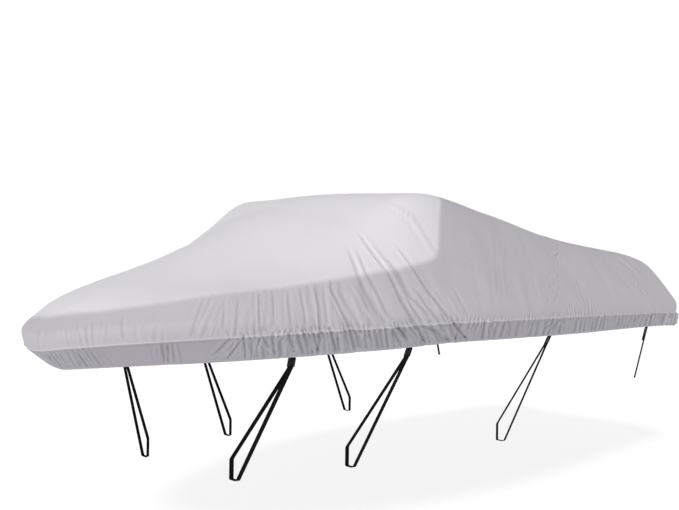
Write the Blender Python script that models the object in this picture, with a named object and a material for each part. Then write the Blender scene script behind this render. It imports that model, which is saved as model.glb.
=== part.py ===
"""A fitted cover for a small boat, as it hangs stretched and tied down: three panels of top cloth,
four strips of skirt below the rim seam, and eight tie-downs of webbing with a plastic slider each.

X runs aft, port is -Y, Z is up, in metres. The origin is the mount: the point under the top of
the cloth, on the centreline, where the cover is held up. Each side of the cover is described by
a row of ribs round its rim, from the bow to the middle of the stern, and each rib climbs from
the hem over five levels to the ridge. The starboard side mirrors the port side.
"""

import math

import bmesh
import bpy
import numpy as np
from mathutils import Matrix

CLOTH_THICK = 0.002
SEAM_GAP = 0.0003
WEBBING_WIDTH = 0.025
WEBBING_THICK = 0.0018
PORT = -1
STARBOARD = 1

# Levels of a rib, counted upwards.
HEM, SEAM, BULGE, KNEE, SHOULDER, RIDGE = -1.0, 0.0, 1.0, 2.0, 3.0, 4.0

# A row for each rib. aft: metres behind the bow tip. half_beam: out from the centreline. seam: height
# of the rim seam over a common base level. Each later level is given by how far it lies in from the
# seam, on the way to the ridge, and how far up from it, with the length of cloth its rounding takes.
# The ridge is given by how far aft it lies and how far up, and the hem by how far in and down.
RIB_COLUMNS = ("aft half_beam seam bulge_out bulge_up knee_in knee_up knee_round shoulder_in "
               "shoulder_up shoulder_round ridge_aft ridge_up tuck_in tuck_down").split()
RIBS = (
    ("bow tip", .000, .000, 1.115, .028, .07, .062, .162, .070, .212, .255, .10, .395, .336, .135, .100),
    ("bow 1", .050, .235, 1.139, .021, .07, .086, .156, .060, .241, .255, .10, .474, .338, .120, .106),
    ("bow 2", .220, .462, 1.167, .021, .07, .075, .163, .035, .269, .257, .12, .600, .366, .101, .112),
    ("bow 3", .550, .708, 1.194, .025, .07, .062, .199, .035, .296, .254, .16, .817, .440, .082, .118),
    ("fore slope", 1.000, .893, 1.215, .020, .07, .050, .237, .040, .308, .326, .20, 1.078, .551, .068, .120),
    ("crown foot", 1.450, 1.030, 1.230, .015, .07, .070, .283, .050, .300, .513, .14, 1.380, .660, .060, .116),
    ("crown fore", 1.900, 1.108, 1.241, .015, .08, .090, .299, .070, .282, .711, .10, 1.750, .748, .060, .110),
    ("crown aft", 2.500, 1.138, 1.241, .010, .08, .130, .296, .100, .285, .635, .18, 2.500, .757, .060, .112),
    ("aft slope", 3.200, 1.118, 1.235, .010, .08, .130, .284, .140, .292, .514, .20, 3.200, .707, .060, .113),
    ("quarter", 3.900, 1.090, 1.227, .010, .08, .109, .268, .160, .273, .450, .20, 3.796, .644, .058, .105),
    ("side aft", 4.454, 1.050, 1.217, .010, .08, .098, .250, .140, .246, .433, .18, 4.081, .598, .038, .099),
    ("corner", 4.773, .960, 1.203, .010, .08, .100, .231, .120, .234, .404, .16, 4.207, .561, .008, .098),
    ("round aft", 4.850, .550, 1.192, .010, .08, .072, .215, .120, .240, .381, .16, 4.257, .550, .015, .100),
    ("stern", 4.850, .000, 1.183, .010, .08, .070, .202, .120, .240, .367, .16, 4.300, .554, .030, .102),
)
LAST_RIB = len(RIBS) - 1
CROWN_RIB = 6.5
ROUND_SPAN = 0.25
RIDGE_CUT = 0.45

# How much higher the starboard cloth stands at the corner of the crown.
CORNER_LIFT = 0.03
CORNER_RIB = 6.0
CORNER_REACH = 1.6

# The two cross seams that part the cloth into three panels, by rib at each level.
BOW_SEAM = ((SEAM, 3.43), (RIDGE, 3.50))
STERN_SEAM = ((SEAM, 7.45), (BULGE, 7.37), (1.3, 7.40), (1.6, 7.48), (1.8, 7.55), (KNEE, 7.68), (2.25, 7.84),
              (2.75, 7.88), (SHOULDER, 8.10), (RIDGE, 8.45))

# A row for each main fold: the side, its line from end to end by rib and level, the depth of its
# trough and its width. A negative depth is a ridge. A low rim stands along each edge of a trough, and
# the fold rises from nothing over the first part of its length and dies away over the last.
FOLD_COLUMNS = ("side", "line", "depth", "width")
FOLD_RIM = 0.6
FADE_IN = 0.25
FADE_OUT = 0.125
FOLDS = (
    (PORT, ((4.12, 2.2), (4.05, 0.5), (4.18, -1.0)), .007, .045),
    (PORT, ((4.24, 2.2), (4.38, 0.2), (4.62, -1.0)), .010, .050),
    (PORT, ((4.62, 2.6), (4.66, 1.4), (4.84, 0.3)), .008, .060),
    (PORT, ((4.90, 0.3), (5.08, -0.35), (5.28, -1.0)), .010, .050),
    (PORT, ((5.06, 2.3), (5.10, 1.4), (5.26, 0.1), (5.52, -1.0)), .012, .050),
    (PORT, ((5.20, 2.3), (5.26, 1.5), (5.44, 0.8), (5.82, -1.0)), .009, .055),
    (PORT, ((5.38, 2.3), (5.50, 1.5), (5.68, 0.7), (6.08, -1.0)), .009, .050),
    (PORT, ((7.04, 0.4), (7.06, -1.0)), .006, .045),
    (PORT, ((9.42, 3.3), (9.56, 1.9)), -.006, .055),
    (PORT, ((2.50, 0.2), (2.52, -1.0)), .005, .045),
    (STARBOARD, ((4.30, 2.3), (4.42, 0.3), (4.60, -1.0)), .010, .050),
    (STARBOARD, ((4.95, 2.4), (5.12, 1.2), (5.50, -0.9)), .011, .055),
    (STARBOARD, ((5.30, 2.4), (5.46, 1.3), (5.90, -0.9)), .009, .055),
    (STARBOARD, ((8.10, 2.4), (8.22, 0.3)), .006, .060),
    (STARBOARD, ((9.60, 3.2), (9.72, 1.8)), -.006, .055),
)

# A row for each tie-down: the rib at whose hem it starts, how far out and how high over the base level
# the square foot of its loop reaches at its outer top corner, or else its free end.
TIE_COLUMNS = ("side", "name", "rib", "foot_out", "foot_top", "looped")
TIES = (
    (PORT, "port_1", 3.84, 0.367, 0.514, True),
    (PORT, "port_2", 5.28, 0.590, 0.525, True),
    (PORT, "port_3", 7.42, 0.736, 0.525, True),
    (PORT, "port_4", 9.50, 0.926, 0.730, False),
    (STARBOARD, "starboard_1", 3.60, 0.410, 0.525, True),
    (STARBOARD, "starboard_2", 5.20, 0.580, 0.525, True),
    (STARBOARD, "starboard_3", 7.40, 0.736, 0.525, True),
    (STARBOARD, "starboard_4", 9.45, 0.930, 0.740, False),
)
LOOP_HIGH = 0.105
LOOP_WIDE = 0.055
LOOP_CORNER = 0.008

# A tab reaches up inside the skirt by TAB_INSIDE, and its other end comes back over the same stitches.
TAB_INSIDE = 0.032
TAB_BACK = (0.2, 0.8)
TAB_LOOSE = 1.3
TAB_CLEAR = 0.0005
TAB_FLAT_REACH = 0.08
TAB_BELOW = 0.009
BUCKLE_LONG = 0.056
BUCKLE_WIDE = 0.040
BUCKLE_THICK = 0.007
BUCKLE_BAR = 0.005
SLOT_HIGH = 0.006
SLOT_WIDE = 0.0275
BUCKLE_CORNER = 0.006
BAR_CLEAR = 0.0005
BUCKLE_IN = BUCKLE_THICK / 2 + BAR_CLEAR + WEBBING_THICK / 2
TAIL_LONG = 0.045

# Rows of quads along each panel, and the levels that its columns of points lie at.
PANEL_STEPS = {"bow": 16, "mid": 38, "stern": 24}
CANOPY_LEVELS = (0, .5, 1, 1.5, 1.75, 2, 2.25, 2.5, 2.75, 3, 3.25, 3.5, 3.75, 4)
SKIRT_LEVELS = (-1, -.5, 0)

CLOTH_LIGHT = (0.60, 0.59, 0.61, 1.0)
CLOTH_SKIRT = (0.42, 0.41, 0.44, 1.0)
BLACK_WEBBING = (0.016, 0.016, 0.018, 1.0)
BLACK_PLASTIC = (0.030, 0.030, 0.033, 1.0)


def column(name):
    return RIB_COLUMNS.index(name)


def rib_values(rib):
    """Every column at these rib numbers, by a smooth curve through the rows."""
    table = np.array([row[1:] for row in RIBS])
    mirrored = table.copy()
    mirrored[:, column("half_beam")] *= -1
    rows = np.concatenate([mirrored[2:0:-1], table, mirrored[-2:-4:-1]])
    place = rib + 2
    low = np.clip(place.astype(int), 1, len(rows) - 3)
    t = (place - low)[..., None]
    a, b, c, d = (rows[low + k] for k in (-1, 0, 1, 2))
    return b + 0.5 * t * (c - a + t * (2 * a - 5 * b + 4 * c - d + t * (3 * (b - c) + d - a)))


def rib_corners(rib, side):
    """The corners of these ribs, from hem to ridge and one beyond it, and the lengths of their rounding."""
    value = {name: v for name, v in zip(RIB_COLUMNS, np.moveaxis(rib_values(rib), -1, 0))}
    to_ridge = np.stack([value["ridge_aft"] - value["aft"], -value["half_beam"]], -1)
    inward = to_ridge / np.linalg.norm(to_ridge, axis=-1, keepdims=True)

    def corner(distance_in, up):
        x = value["aft"] + inward[..., 0] * distance_in
        y = value["half_beam"] + inward[..., 1] * distance_in
        return np.stack([x, side * y, value["seam"] + up], -1)

    zero = np.zeros_like(value["aft"])
    ridge = np.stack([value["ridge_aft"], zero, value["seam"] + value["ridge_up"]], -1)
    corners = [
        corner(value["tuck_in"], -value["tuck_down"]),
        corner(zero, zero),
        corner(-value["bulge_out"], value["bulge_up"]),
        corner(value["knee_in"], value["knee_up"]),
        corner(value["shoulder_in"], value["shoulder_up"]),
        ridge,
        corner(value["shoulder_in"], value["shoulder_up"]) * (1, -1, 1),
    ]
    return corners, value["knee_round"], value["shoulder_round"]


def rounded_rib(corners, knee_round, shoulder_round, level):
    """Points at these levels (0 to 4) of ribs whose corners are rounded off by soft curves.

    A corner's curve fills ROUND_SPAN of a level on each side of it, and straight cloth the rest.
    """
    path = np.stack(corners[1:], 0)
    step = np.diff(path, axis=0)
    length = np.linalg.norm(step, axis=-1)
    way = step / length[..., None]
    cut = [np.zeros_like(length[0]), 0.5 * np.minimum(length[0], length[1])]
    cut.append(np.minimum(knee_round, 0.5 * np.minimum(length[1], length[2])))
    cut.append(np.minimum(shoulder_round, 0.5 * np.minimum(length[2], length[3])))
    cut.append(RIDGE_CUT * length[3])
    middle = [0.5 * (cut[k] + length[k] - cut[k + 1]) for k in range(4)]
    points = path[0] + way[0] * (np.clip(level, 0, 1) * (length[0] - cut[1]))[..., None]
    nearest = np.floor(level + 0.5).astype(int)
    for k in range(1, 5):
        part = level - k
        to_before = length[k - 1] - middle[k - 1]
        to_after = middle[k] if k < 4 else cut[k]
        t = np.clip((part + ROUND_SPAN) / (2 * ROUND_SPAN), 0, 1)[..., None]
        start = path[k] - way[k - 1] * cut[k][..., None]
        end = path[k] + way[k] * cut[k][..., None]
        arc = (1 - t) ** 2 * start + 2 * t * (1 - t) * path[k] + t * t * end
        s = np.clip((part + 0.5) / (0.5 - ROUND_SPAN), 0, 1)
        lead_in = path[k] - way[k - 1] * ((1 - s) * to_before + s * cut[k])[..., None]
        s = np.clip((part - ROUND_SPAN) / (0.5 - ROUND_SPAN), 0, 1)
        lead_out = path[k] + way[k] * ((1 - s) * cut[k] + s * to_after)[..., None]
        before_arc = (part < -ROUND_SPAN)[..., None]
        after_arc = (part > ROUND_SPAN)[..., None]
        here = np.where(before_arc, lead_in, np.where(after_arc, lead_out, arc))
        points = np.where((nearest == k)[..., None], here, points)
    return points


def corner_lift(rib, level):
    """How much higher the starboard cloth stands at the corner of the crown."""
    along = np.clip(1 - ((rib - CORNER_RIB) / CORNER_REACH) ** 2, 0, 1) ** 2
    across = np.sin(math.pi * np.clip(level - KNEE, 0, RIDGE - KNEE) / (RIDGE - KNEE)) ** 2
    return CORNER_LIFT * along * across


def smooth_point(rib, level, side):
    """The cover before its folds, at these ribs and levels."""
    rib, level = np.broadcast_arrays(np.asarray(rib, float), np.asarray(level, float))
    corners, knee_round, shoulder_round = rib_corners(rib, side)
    points = rounded_rib(corners, knee_round, shoulder_round, np.clip(level, SEAM, RIDGE))
    below = corners[1] + (corners[1] - corners[0]) * level[..., None]
    points = np.where((level < SEAM)[..., None], below, points)
    if side == STARBOARD:
        points[..., 2] += corner_lift(rib, level)
    return points


def face_normal(point, rib, level, side, above):
    """The outward normal of a surface, taken on the cloth above the seam or on the skirt below it."""
    step = 1e-3
    ridge_short = 20 * step
    if above:
        low = np.clip(level - step, SEAM, RIDGE - ridge_short)
        high = low + 2 * step
    else:
        high = np.clip(level + step, HEM + 2 * step, SEAM)
        low = high - 2 * step
    middle = (low + high) / 2
    climb = point(rib, high, side) - point(rib, low, side)
    run = point(rib + step, middle, side) - point(rib - step, middle, side)
    normal = np.cross(run, climb) * -side
    on_centreline = (level == RIDGE) | (rib == 0) | (rib == LAST_RIB)
    normal[..., 1] = np.where(on_centreline, 0, normal[..., 1])
    return normal / np.linalg.norm(normal, axis=-1, keepdims=True)


def outward_normal(point, rib, level, side):
    """The outward normal, and at the seam the mitre of the two that meet there."""
    rib, level = np.broadcast_arrays(np.asarray(rib, float), np.asarray(level, float))
    above = face_normal(point, rib, level, side, True)
    below = face_normal(point, rib, level, side, False)
    mitre = (above + below) / (1 + (above * below).sum(-1, keepdims=True))
    one_side = np.where((level > SEAM)[..., None], above, below)
    return np.where((level == SEAM)[..., None], mitre, one_side)


def distance_to_line(points, line):
    """The distance from each point to a line of straight pieces, and how far along it lies, from 0 to 1."""
    lengths = np.linalg.norm(np.diff(line, axis=0), axis=1)
    nearest = np.full(points.shape[:-1], np.inf)
    along = np.zeros(points.shape[:-1])
    done = 0.0
    for start, end, length in zip(line[:-1], line[1:], lengths):
        t = np.clip(((points - start) @ (end - start)) / length**2, 0, 1)
        distance = np.linalg.norm(points - start - t[..., None] * (end - start), axis=-1)
        closer = distance < nearest
        nearest = np.where(closer, distance, nearest)
        along = np.where(closer, done + t * length, along)
        done += length
    return nearest, along / done


def fold_depth(points, side):
    """How deep the main folds press the cloth in at these points. It lies flat where a tab is sewn in."""
    depth = np.zeros(points.shape[:-1])
    for fold in FOLDS:
        row = dict(zip(FOLD_COLUMNS, fold))
        if row["side"] != side:
            continue
        rib, level = np.array(row["line"]).T
        distance, along = distance_to_line(points, smooth_point(rib, level, side))
        across = (distance / row["width"]) ** 2
        reaches_hem = level[-1] <= HEM
        fade = np.clip(along / FADE_IN, 0, 1) * np.clip((1 - along) / FADE_OUT + reaches_hem, 0, 1)
        depth += row["depth"] * fade * (1 - FOLD_RIM * across) * np.exp(-across)
    for tie in (row for row in TIES if row[0] == side):
        sewn = smooth_point(tie[TIE_COLUMNS.index("rib")], HEM, side)
        distance = np.linalg.norm(points - sewn, axis=-1)
        depth *= 1 - np.exp(-((distance / TAB_FLAT_REACH) ** 4))
    return depth


def fold_direction(rib, level, side):
    """The way a fold pushes out, turning steadily from the skirt's to the top cloth's across the seam."""
    rib, level = np.broadcast_arrays(np.asarray(rib, float), np.asarray(level, float))
    above = face_normal(smooth_point, rib, np.maximum(level, SEAM), side, True)
    below = face_normal(smooth_point, rib, np.minimum(level, SEAM), side, False)
    share = np.clip(level + 0.5, 0, 1)[..., None]
    direction = below + (above - below) * share**2 * (3 - 2 * share)
    return direction / np.linalg.norm(direction, axis=-1, keepdims=True)


def cover_point(rib, level, side):
    """The outer face of the cover, with its main folds."""
    points = smooth_point(rib, level, side)
    return points - fold_direction(rib, level, side) * fold_depth(points, side)[..., None]


def seam_rib(seam, level):
    levels, ribs = zip(*seam)
    return np.interp(level, levels, ribs)


def crown():
    """The point under the cloth at its top, which becomes the origin."""
    top = cover_point(CROWN_RIB, RIDGE, PORT)
    return top - CLOTH_THICK * np.array((0, 0, 1))


def panel_ribs(panel, steps, level):
    """The ribs of a panel's rows at this level, from its fore edge to its aft edge."""
    first, last = {
        "bow": (0.0, seam_rib(BOW_SEAM, level)),
        "mid": (seam_rib(BOW_SEAM, level), seam_rib(STERN_SEAM, level)),
        "stern": (seam_rib(STERN_SEAM, level), float(LAST_RIB)),
    }[panel]
    return np.linspace(first, last, steps + 1)


def cloth_grid(panel, levels, side):
    """Outer points and outward normals of one side of a panel, drawn back from its seams."""
    levels = np.array(levels, float)
    rib = np.stack([panel_ribs(panel, PANEL_STEPS[panel], level) for level in levels], 1)
    level = np.broadcast_to(levels, rib.shape)
    points = cover_point(rib, level, side)
    normals = outward_normal(cover_point, rib, level, side)
    back = SEAM_GAP / 2
    aft_way = points[1:] - points[:-1]
    aft_way /= np.linalg.norm(aft_way, axis=-1, keepdims=True)
    if panel != "bow":
        points[0] += back * aft_way[0]
    if panel != "stern":
        points[-1] -= back * aft_way[-1]
    up_way = points[:, 1:] - points[:, :-1]
    up_way /= np.linalg.norm(up_way, axis=-1, keepdims=True)
    if levels[0] == SEAM:
        points[:, 0] += back * up_way[:, 0]
    if levels[-1] == SEAM:
        points[:, -1] -= back * up_way[:, -1]
    return points, normals


def add_grid(bm, points, offsets, layer):
    """A grid of quads through the points, each vertex keeping its offset to the sheet's other face."""
    rows, columns = points.shape[:2]
    made = bmesh.ops.create_grid(bm, x_segments=columns - 1, y_segments=rows - 1, size=0.5)["verts"]
    for vert, co, offset in zip(made, points.reshape(-1, 3), offsets.reshape(-1, 3)):
        vert.co = co
        vert[layer] = offset
    return made


def split_from_centre(made, columns, row, next_row):
    """Cuts the top quad of an end rib by the diagonal that leaves the centreline."""
    face_corner = made[row * columns + columns - 1]
    opposite = made[next_row * columns + columns - 2]
    face = next(f for f in face_corner.link_faces if opposite in f.verts)
    bmesh.utils.face_split(face, face_corner, opposite)


def finish_sheet(name, bm, layer, material, weld=0.00005):
    """Welds the grids, gives them their thickness and makes the object."""
    bmesh.ops.remove_doubles(bm, verts=bm.verts, dist=weld)
    made = bmesh.ops.extrude_face_region(bm, geom=bm.faces[:], use_keep_orig=True)["geom"]
    for vert in made:
        if isinstance(vert, bmesh.types.BMVert):
            vert.co += vert[layer]
    bmesh.ops.recalc_face_normals(bm, faces=bm.faces)
    return add_object(name, bm, material)


def add_object(name, bm, material):
    mesh = bpy.data.meshes.new(name)
    bm.to_mesh(mesh)
    bm.free()
    mesh.shade_smooth()
    mesh.set_sharp_from_angle(angle=math.radians(40))
    mesh.materials.append(material)
    obj = bpy.data.objects.new(name, mesh)
    bpy.context.collection.objects.link(obj)
    return obj


def canopy(panel, material):
    """One panel of the top: both sides of the cover, joined along the ridge."""
    bm = bmesh.new()
    layer = bm.verts.layers.float_vector.new("inward")
    for side in (PORT, STARBOARD):
        points, normals = cloth_grid(panel, CANOPY_LEVELS, side)
        points -= crown()
        made = add_grid(bm, points, -CLOTH_THICK * normals, layer)
        if panel == "bow":
            split_from_centre(made, len(CANOPY_LEVELS), 0, 1)
        if panel == "stern":
            split_from_centre(made, len(CANOPY_LEVELS), PANEL_STEPS[panel], PANEL_STEPS[panel] - 1)
    return finish_sheet("canopy_" + panel, bm, layer, material)


def skirt(name, panel, sides, material):
    """A stretch of the strip under the rim seam, down to its hem."""
    bm = bmesh.new()
    layer = bm.verts.layers.float_vector.new("inward")
    for side in sides:
        points, normals = cloth_grid(panel, SKIRT_LEVELS, side)
        points -= crown()
        add_grid(bm, points, -CLOTH_THICK * normals, layer)
    return finish_sheet(name, bm, layer, material)


class TieFrame:
    """The directions at one tie-down: along the hem, down its own way, and inwards."""

    def __init__(self, row):
        rib, side = row["rib"], row["side"]
        back = crown()
        hem, seam = (cover_point(rib, level, side) for level in (HEM, SEAM))
        outward = outward_normal(cover_point, rib, HEM, side)
        run = cover_point(rib + 0.02, HEM, side) - cover_point(rib - 0.02, HEM, side)
        self.side = side
        self.along = run / np.linalg.norm(run)
        self.origin = hem - outward * (CLOTH_THICK + TAB_CLEAR + WEBBING_THICK / 2) - back
        self.skirt_down = (hem - seam) / np.linalg.norm(hem - seam)
        low = row["foot_top"] - LOOP_HIGH if row["looped"] else row["foot_top"]
        self.foot = np.array((hem[0], side * row["foot_out"], low)) - back
        down = self.foot - self.origin
        down -= self.along * (down @ self.along)
        self.down = down / np.linalg.norm(down)
        self.inward = -outward
        self.inward -= self.down * (self.inward @ self.down)
        self.inward -= self.along * (self.inward @ self.along)
        self.inward /= np.linalg.norm(self.inward)

    def at(self, down, inward):
        return self.origin + self.down * down + self.inward * inward


def webbing(name, path, along, material, closed=False):
    """A flat strap whose middle runs through the points of path, its width as near along as it can lie."""
    path = np.array(path)
    if closed:
        path = np.concatenate([path, path[:1]])
        way = np.concatenate([path[1:] - path[:-1], path[1:2] - path[:1]])
        way = way / np.linalg.norm(way, axis=1, keepdims=True)
        way[1:] = way[1:] + way[:-1]
        way[0] = way[-1] = way[-1]
    else:
        step = np.diff(path, axis=0)
        step /= np.linalg.norm(step, axis=1, keepdims=True)
        way = np.concatenate([step[:1], step[1:] + step[:-1], step[-1:]])
    way /= np.linalg.norm(way, axis=1, keepdims=True)
    width = along - way * (way @ along)[:, None]
    width *= WEBBING_WIDTH / np.linalg.norm(width, axis=1, keepdims=True)
    face = np.cross(width, way)
    face *= WEBBING_THICK / np.linalg.norm(face, axis=1, keepdims=True)
    points = np.stack([path - width / 2 - face / 2, path + width / 2 - face / 2], 1)
    offsets = np.stack([face, face], 1)
    bm = bmesh.new()
    layer = bm.verts.layers.float_vector.new("inward")
    add_grid(bm, points, offsets, layer)
    return finish_sheet(name, bm, layer, material)


def turn_round_bar(bar, way):
    """Points (down, in) of webbing that turns round a bar of the buckle: under it where way is 1, over it
    where way is -1."""
    clear = WEBBING_THICK / 2 + BAR_CLEAR
    half_high, half_thick = BUCKLE_BAR / 2, BUCKLE_THICK / 2
    slant = clear * math.sqrt(0.5)
    outer = [
        (-half_high - clear, -half_thick - clear),
        (half_high, -half_thick - clear),
        (half_high + slant, -half_thick - slant),
        (half_high + clear, -half_thick),
    ]
    inner = [(down, -inward) for down, inward in reversed(outer)]
    return [(bar + way * down, BUCKLE_IN + inward) for down, inward in outer + inner]


def tab(frame, name, material):
    """The short loop of webbing sewn inside the hem, under the buckle's top bar."""
    up = -frame.skirt_down
    layer_apart = frame.inward * (WEBBING_THICK + SEAM_GAP)
    path = [frame.origin + up * TAB_INSIDE, frame.origin + up * TAB_INSIDE / 2, frame.origin]
    path += [frame.at(*point) for point in turn_round_bar(TAB_BELOW + BUCKLE_BAR / 2, 1)]
    path.append(frame.origin + up * TAB_INSIDE * TAB_BACK[0] + layer_apart * TAB_LOOSE)
    path.append(frame.origin + up * TAB_INSIDE * TAB_BACK[1] + layer_apart)
    return webbing(name, path, frame.along, material)


def buckle(frame, name, material):
    """A flat slider with a slot at each end, for the tab and for the strap."""
    bm = bmesh.new()
    bmesh.ops.create_cube(bm, size=1.0)
    bmesh.ops.scale(bm, vec=(BUCKLE_WIDE, BUCKLE_LONG, BUCKLE_THICK), verts=bm.verts)
    upright = [e for e in bm.edges if abs(e.verts[0].co.z - e.verts[1].co.z) > BUCKLE_THICK / 2]
    bmesh.ops.bevel(bm, geom=upright, offset=BUCKLE_CORNER, segments=3, affect="EDGES")
    obj = add_object(name, bm, material)
    for end in (-1, 1):
        cutter_mesh = bpy.data.meshes.new("slot")
        shape = bmesh.new()
        bmesh.ops.create_cube(shape, size=1.0)
        bmesh.ops.scale(shape, vec=(SLOT_WIDE, SLOT_HIGH, BUCKLE_THICK * 3), verts=shape.verts)
        shape.to_mesh(cutter_mesh)
        shape.free()
        cutter = bpy.data.objects.new("slot", cutter_mesh)
        bpy.context.collection.objects.link(cutter)
        cutter.location.y = end * (BUCKLE_LONG / 2 - BUCKLE_BAR - SLOT_HIGH / 2)
        cutter.hide_render = True
        cutter.display_type = "WIRE"
        cutter.parent = obj
        cut = obj.modifiers.new("slot", "BOOLEAN")
        cut.operation = "DIFFERENCE"
        cut.object = cutter
    place = np.eye(4)
    place[:3, 0] = np.cross(frame.down, frame.inward)
    place[:3, 1] = frame.down
    place[:3, 2] = frame.inward
    place[:3, 3] = frame.at(TAB_BELOW + BUCKLE_LONG / 2, BUCKLE_IN)
    obj.matrix_world = Matrix(place.tolist())
    return obj


def eased(points, cut, steps=3):
    """The points with each corner but the ends drawn round, starting this far before it."""
    points = np.array(points)
    path = [points[0]]
    for before, corner, after in zip(points[:-2], points[1:-1], points[2:]):
        start = corner + (before - corner) * cut / np.linalg.norm(before - corner)
        end = corner + (after - corner) * cut / np.linalg.norm(after - corner)
        for t in np.linspace(0, 1, steps + 1):
            path.append((1 - t) ** 2 * start + 2 * t * (1 - t) * corner + t * t * end)
    return path + [points[-1]]


def strap(frame, row, name, material):
    """The strap from the buckle's lower bar: a loop with a square foot, or one run with a short tail."""
    turn = [frame.at(*p) for p in turn_round_bar(TAB_BELOW + BUCKLE_LONG - BUCKLE_BAR / 2, -1)]
    if not row["looped"]:
        tail = turn[-1] + frame.down * TAIL_LONG
        return webbing(name, [frame.foot, *turn, tail], frame.along, material)
    under = frame.foot - np.array((0, frame.side * LOOP_WIDE, 0))
    behind = under + np.array((0, 0, LOOP_HIGH))
    run = eased([turn[-1], behind, under, frame.foot, turn[0]], LOOP_CORNER)
    return webbing(name, turn + run[1:-1], frame.along, material, closed=True)


def make_material(name, colour, roughness):
    material = bpy.data.materials.new(name)
    material.use_nodes = True
    shader = material.node_tree.nodes["Principled BSDF"]
    shader.inputs["Base Color"].default_value = colour
    shader.inputs["Roughness"].default_value = roughness
    shader.inputs["Metallic"].default_value = 0.0
    return material


def main():
    for obj in list(bpy.data.objects):
        bpy.data.objects.remove(obj)
    top_cloth = make_material("cover_cloth", CLOTH_LIGHT, 0.85)
    skirt_cloth = make_material("skirt_cloth", CLOTH_SKIRT, 0.85)
    black_webbing = make_material("black_webbing", BLACK_WEBBING, 0.80)
    black_plastic = make_material("black_plastic", BLACK_PLASTIC, 0.45)
    for panel in PANEL_STEPS:
        canopy(panel, top_cloth)
    skirt("skirt_bow", "bow", (PORT, STARBOARD), skirt_cloth)
    skirt("skirt_mid_port", "mid", (PORT,), skirt_cloth)
    skirt("skirt_mid_starboard", "mid", (STARBOARD,), skirt_cloth)
    skirt("skirt_stern", "stern", (PORT, STARBOARD), skirt_cloth)
    for tie in TIES:
        row = dict(zip(TIE_COLUMNS, tie))
        frame = TieFrame(row)
        tab(frame, "tab_" + row["name"], black_webbing)
        buckle(frame, "buckle_" + row["name"], black_plastic)
        strap(frame, row, "strap_" + row["name"], black_webbing)


main()
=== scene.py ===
"""The looks of the boat cover: cloth with its folds, sewing, webbing and sliders, and a pale studio.

The cloth is laid out by ribs and levels, as its solids are: a rib climbs from the hem (level -1) over
the rim seam (0), the bulge (1), the knee (2) and the shoulder (3) to the ridge (4). Fine folds are
placed on the cloth itself, by the run along the rim seam and the rise up from it, in metres.
"""

import math

import bmesh
import bpy
import numpy as np
from mathutils import Matrix, Vector


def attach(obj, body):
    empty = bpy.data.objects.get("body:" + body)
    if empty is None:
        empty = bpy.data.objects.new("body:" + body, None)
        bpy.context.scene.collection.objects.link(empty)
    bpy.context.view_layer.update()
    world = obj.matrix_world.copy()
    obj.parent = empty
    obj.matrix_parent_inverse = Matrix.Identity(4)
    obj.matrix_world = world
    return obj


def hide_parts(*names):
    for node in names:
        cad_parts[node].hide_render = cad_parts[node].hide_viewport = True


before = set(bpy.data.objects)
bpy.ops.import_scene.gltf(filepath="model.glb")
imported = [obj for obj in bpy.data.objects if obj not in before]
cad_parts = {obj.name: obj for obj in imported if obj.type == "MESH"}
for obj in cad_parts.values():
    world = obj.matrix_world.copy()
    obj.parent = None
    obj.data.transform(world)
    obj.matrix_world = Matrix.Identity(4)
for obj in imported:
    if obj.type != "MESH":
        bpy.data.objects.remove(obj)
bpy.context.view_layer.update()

bl_info = {
    "name": "Boat cover looks",
    "version": (1, 0, 0),
    "blender": (4, 5, 0),
    "location": "View3D > Sidebar > Cover",
    "description": "Builds the cloth, sewing, webbing and sliders of a fitted boat cover",
    "category": "Object",
}

PORT = -1
STARBOARD = 1
SIDES = (PORT, STARBOARD)

# Levels of a rib, counted upwards.
HEM, SEAM, BULGE, KNEE, SHOULDER, RIDGE = -1.0, 0.0, 1.0, 2.0, 3.0, 4.0

# A row for each rib, as in the solids: the seam's place, then how far in and up each level lies.
RIB_COLUMNS = ("aft half_beam seam bulge_out bulge_up knee_in knee_up knee_round shoulder_in "
               "shoulder_up shoulder_round ridge_aft ridge_up tuck_in tuck_down").split()
RIBS = (
    ("bow tip", .0, .0, 1.115, .028, .07, .062, .162, .07, .212, .255, .1, .395, .336, .135, .1),
    ("bow 1", .05, .235, 1.139, .021, .07, .086, .156, .06, .241, .255, .1, .474, .338, .12, .106),
    ("bow 2", .22, .462, 1.167, .021, .07, .075, .163, .035, .269, .257, .12, .6, .366, .101, .112),
    ("bow 3", .55, .708, 1.194, .025, .07, .062, .199, .035, .296, .254, .16, .817, .44, .082, .118),
    ("fore slope", 1.0, .893, 1.215, .02, .07, .05, .237, .04, .308, .326, .2, 1.078, .551, .068, .12),
    ("crown foot", 1.45, 1.03, 1.23, .015, .07, .07, .283, .05, .3, .513, .14, 1.38, .66, .06, .116),
    ("crown fore", 1.9, 1.108, 1.241, .015, .08, .09, .299, .07, .282, .711, .1, 1.75, .748, .06, .11),
    ("crown aft", 2.5, 1.138, 1.241, .01, .08, .13, .296, .1, .285, .635, .18, 2.5, .757, .06, .112),
    ("aft slope", 3.2, 1.118, 1.235, .01, .08, .13, .284, .14, .292, .514, .2, 3.2, .707, .06, .113),
    ("quarter", 3.9, 1.09, 1.227, .01, .08, .109, .268, .16, .273, .45, .2, 3.796, .644, .058, .105),
    ("side aft", 4.454, 1.05, 1.217, .01, .08, .098, .25, .14, .246, .433, .18, 4.081, .598, .038, .099),
    ("corner", 4.773, .96, 1.203, .01, .08, .1, .231, .12, .234, .404, .16, 4.207, .561, .008, .098),
    ("round aft", 4.85, .55, 1.192, .01, .08, .072, .215, .12, .24, .381, .16, 4.257, .55, .015, .1),
    ("stern", 4.85, .0, 1.183, .01, .08, .07, .202, .12, .24, .367, .16, 4.3, .554, .03, .102),
)
LAST_RIB = len(RIBS) - 1
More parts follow.
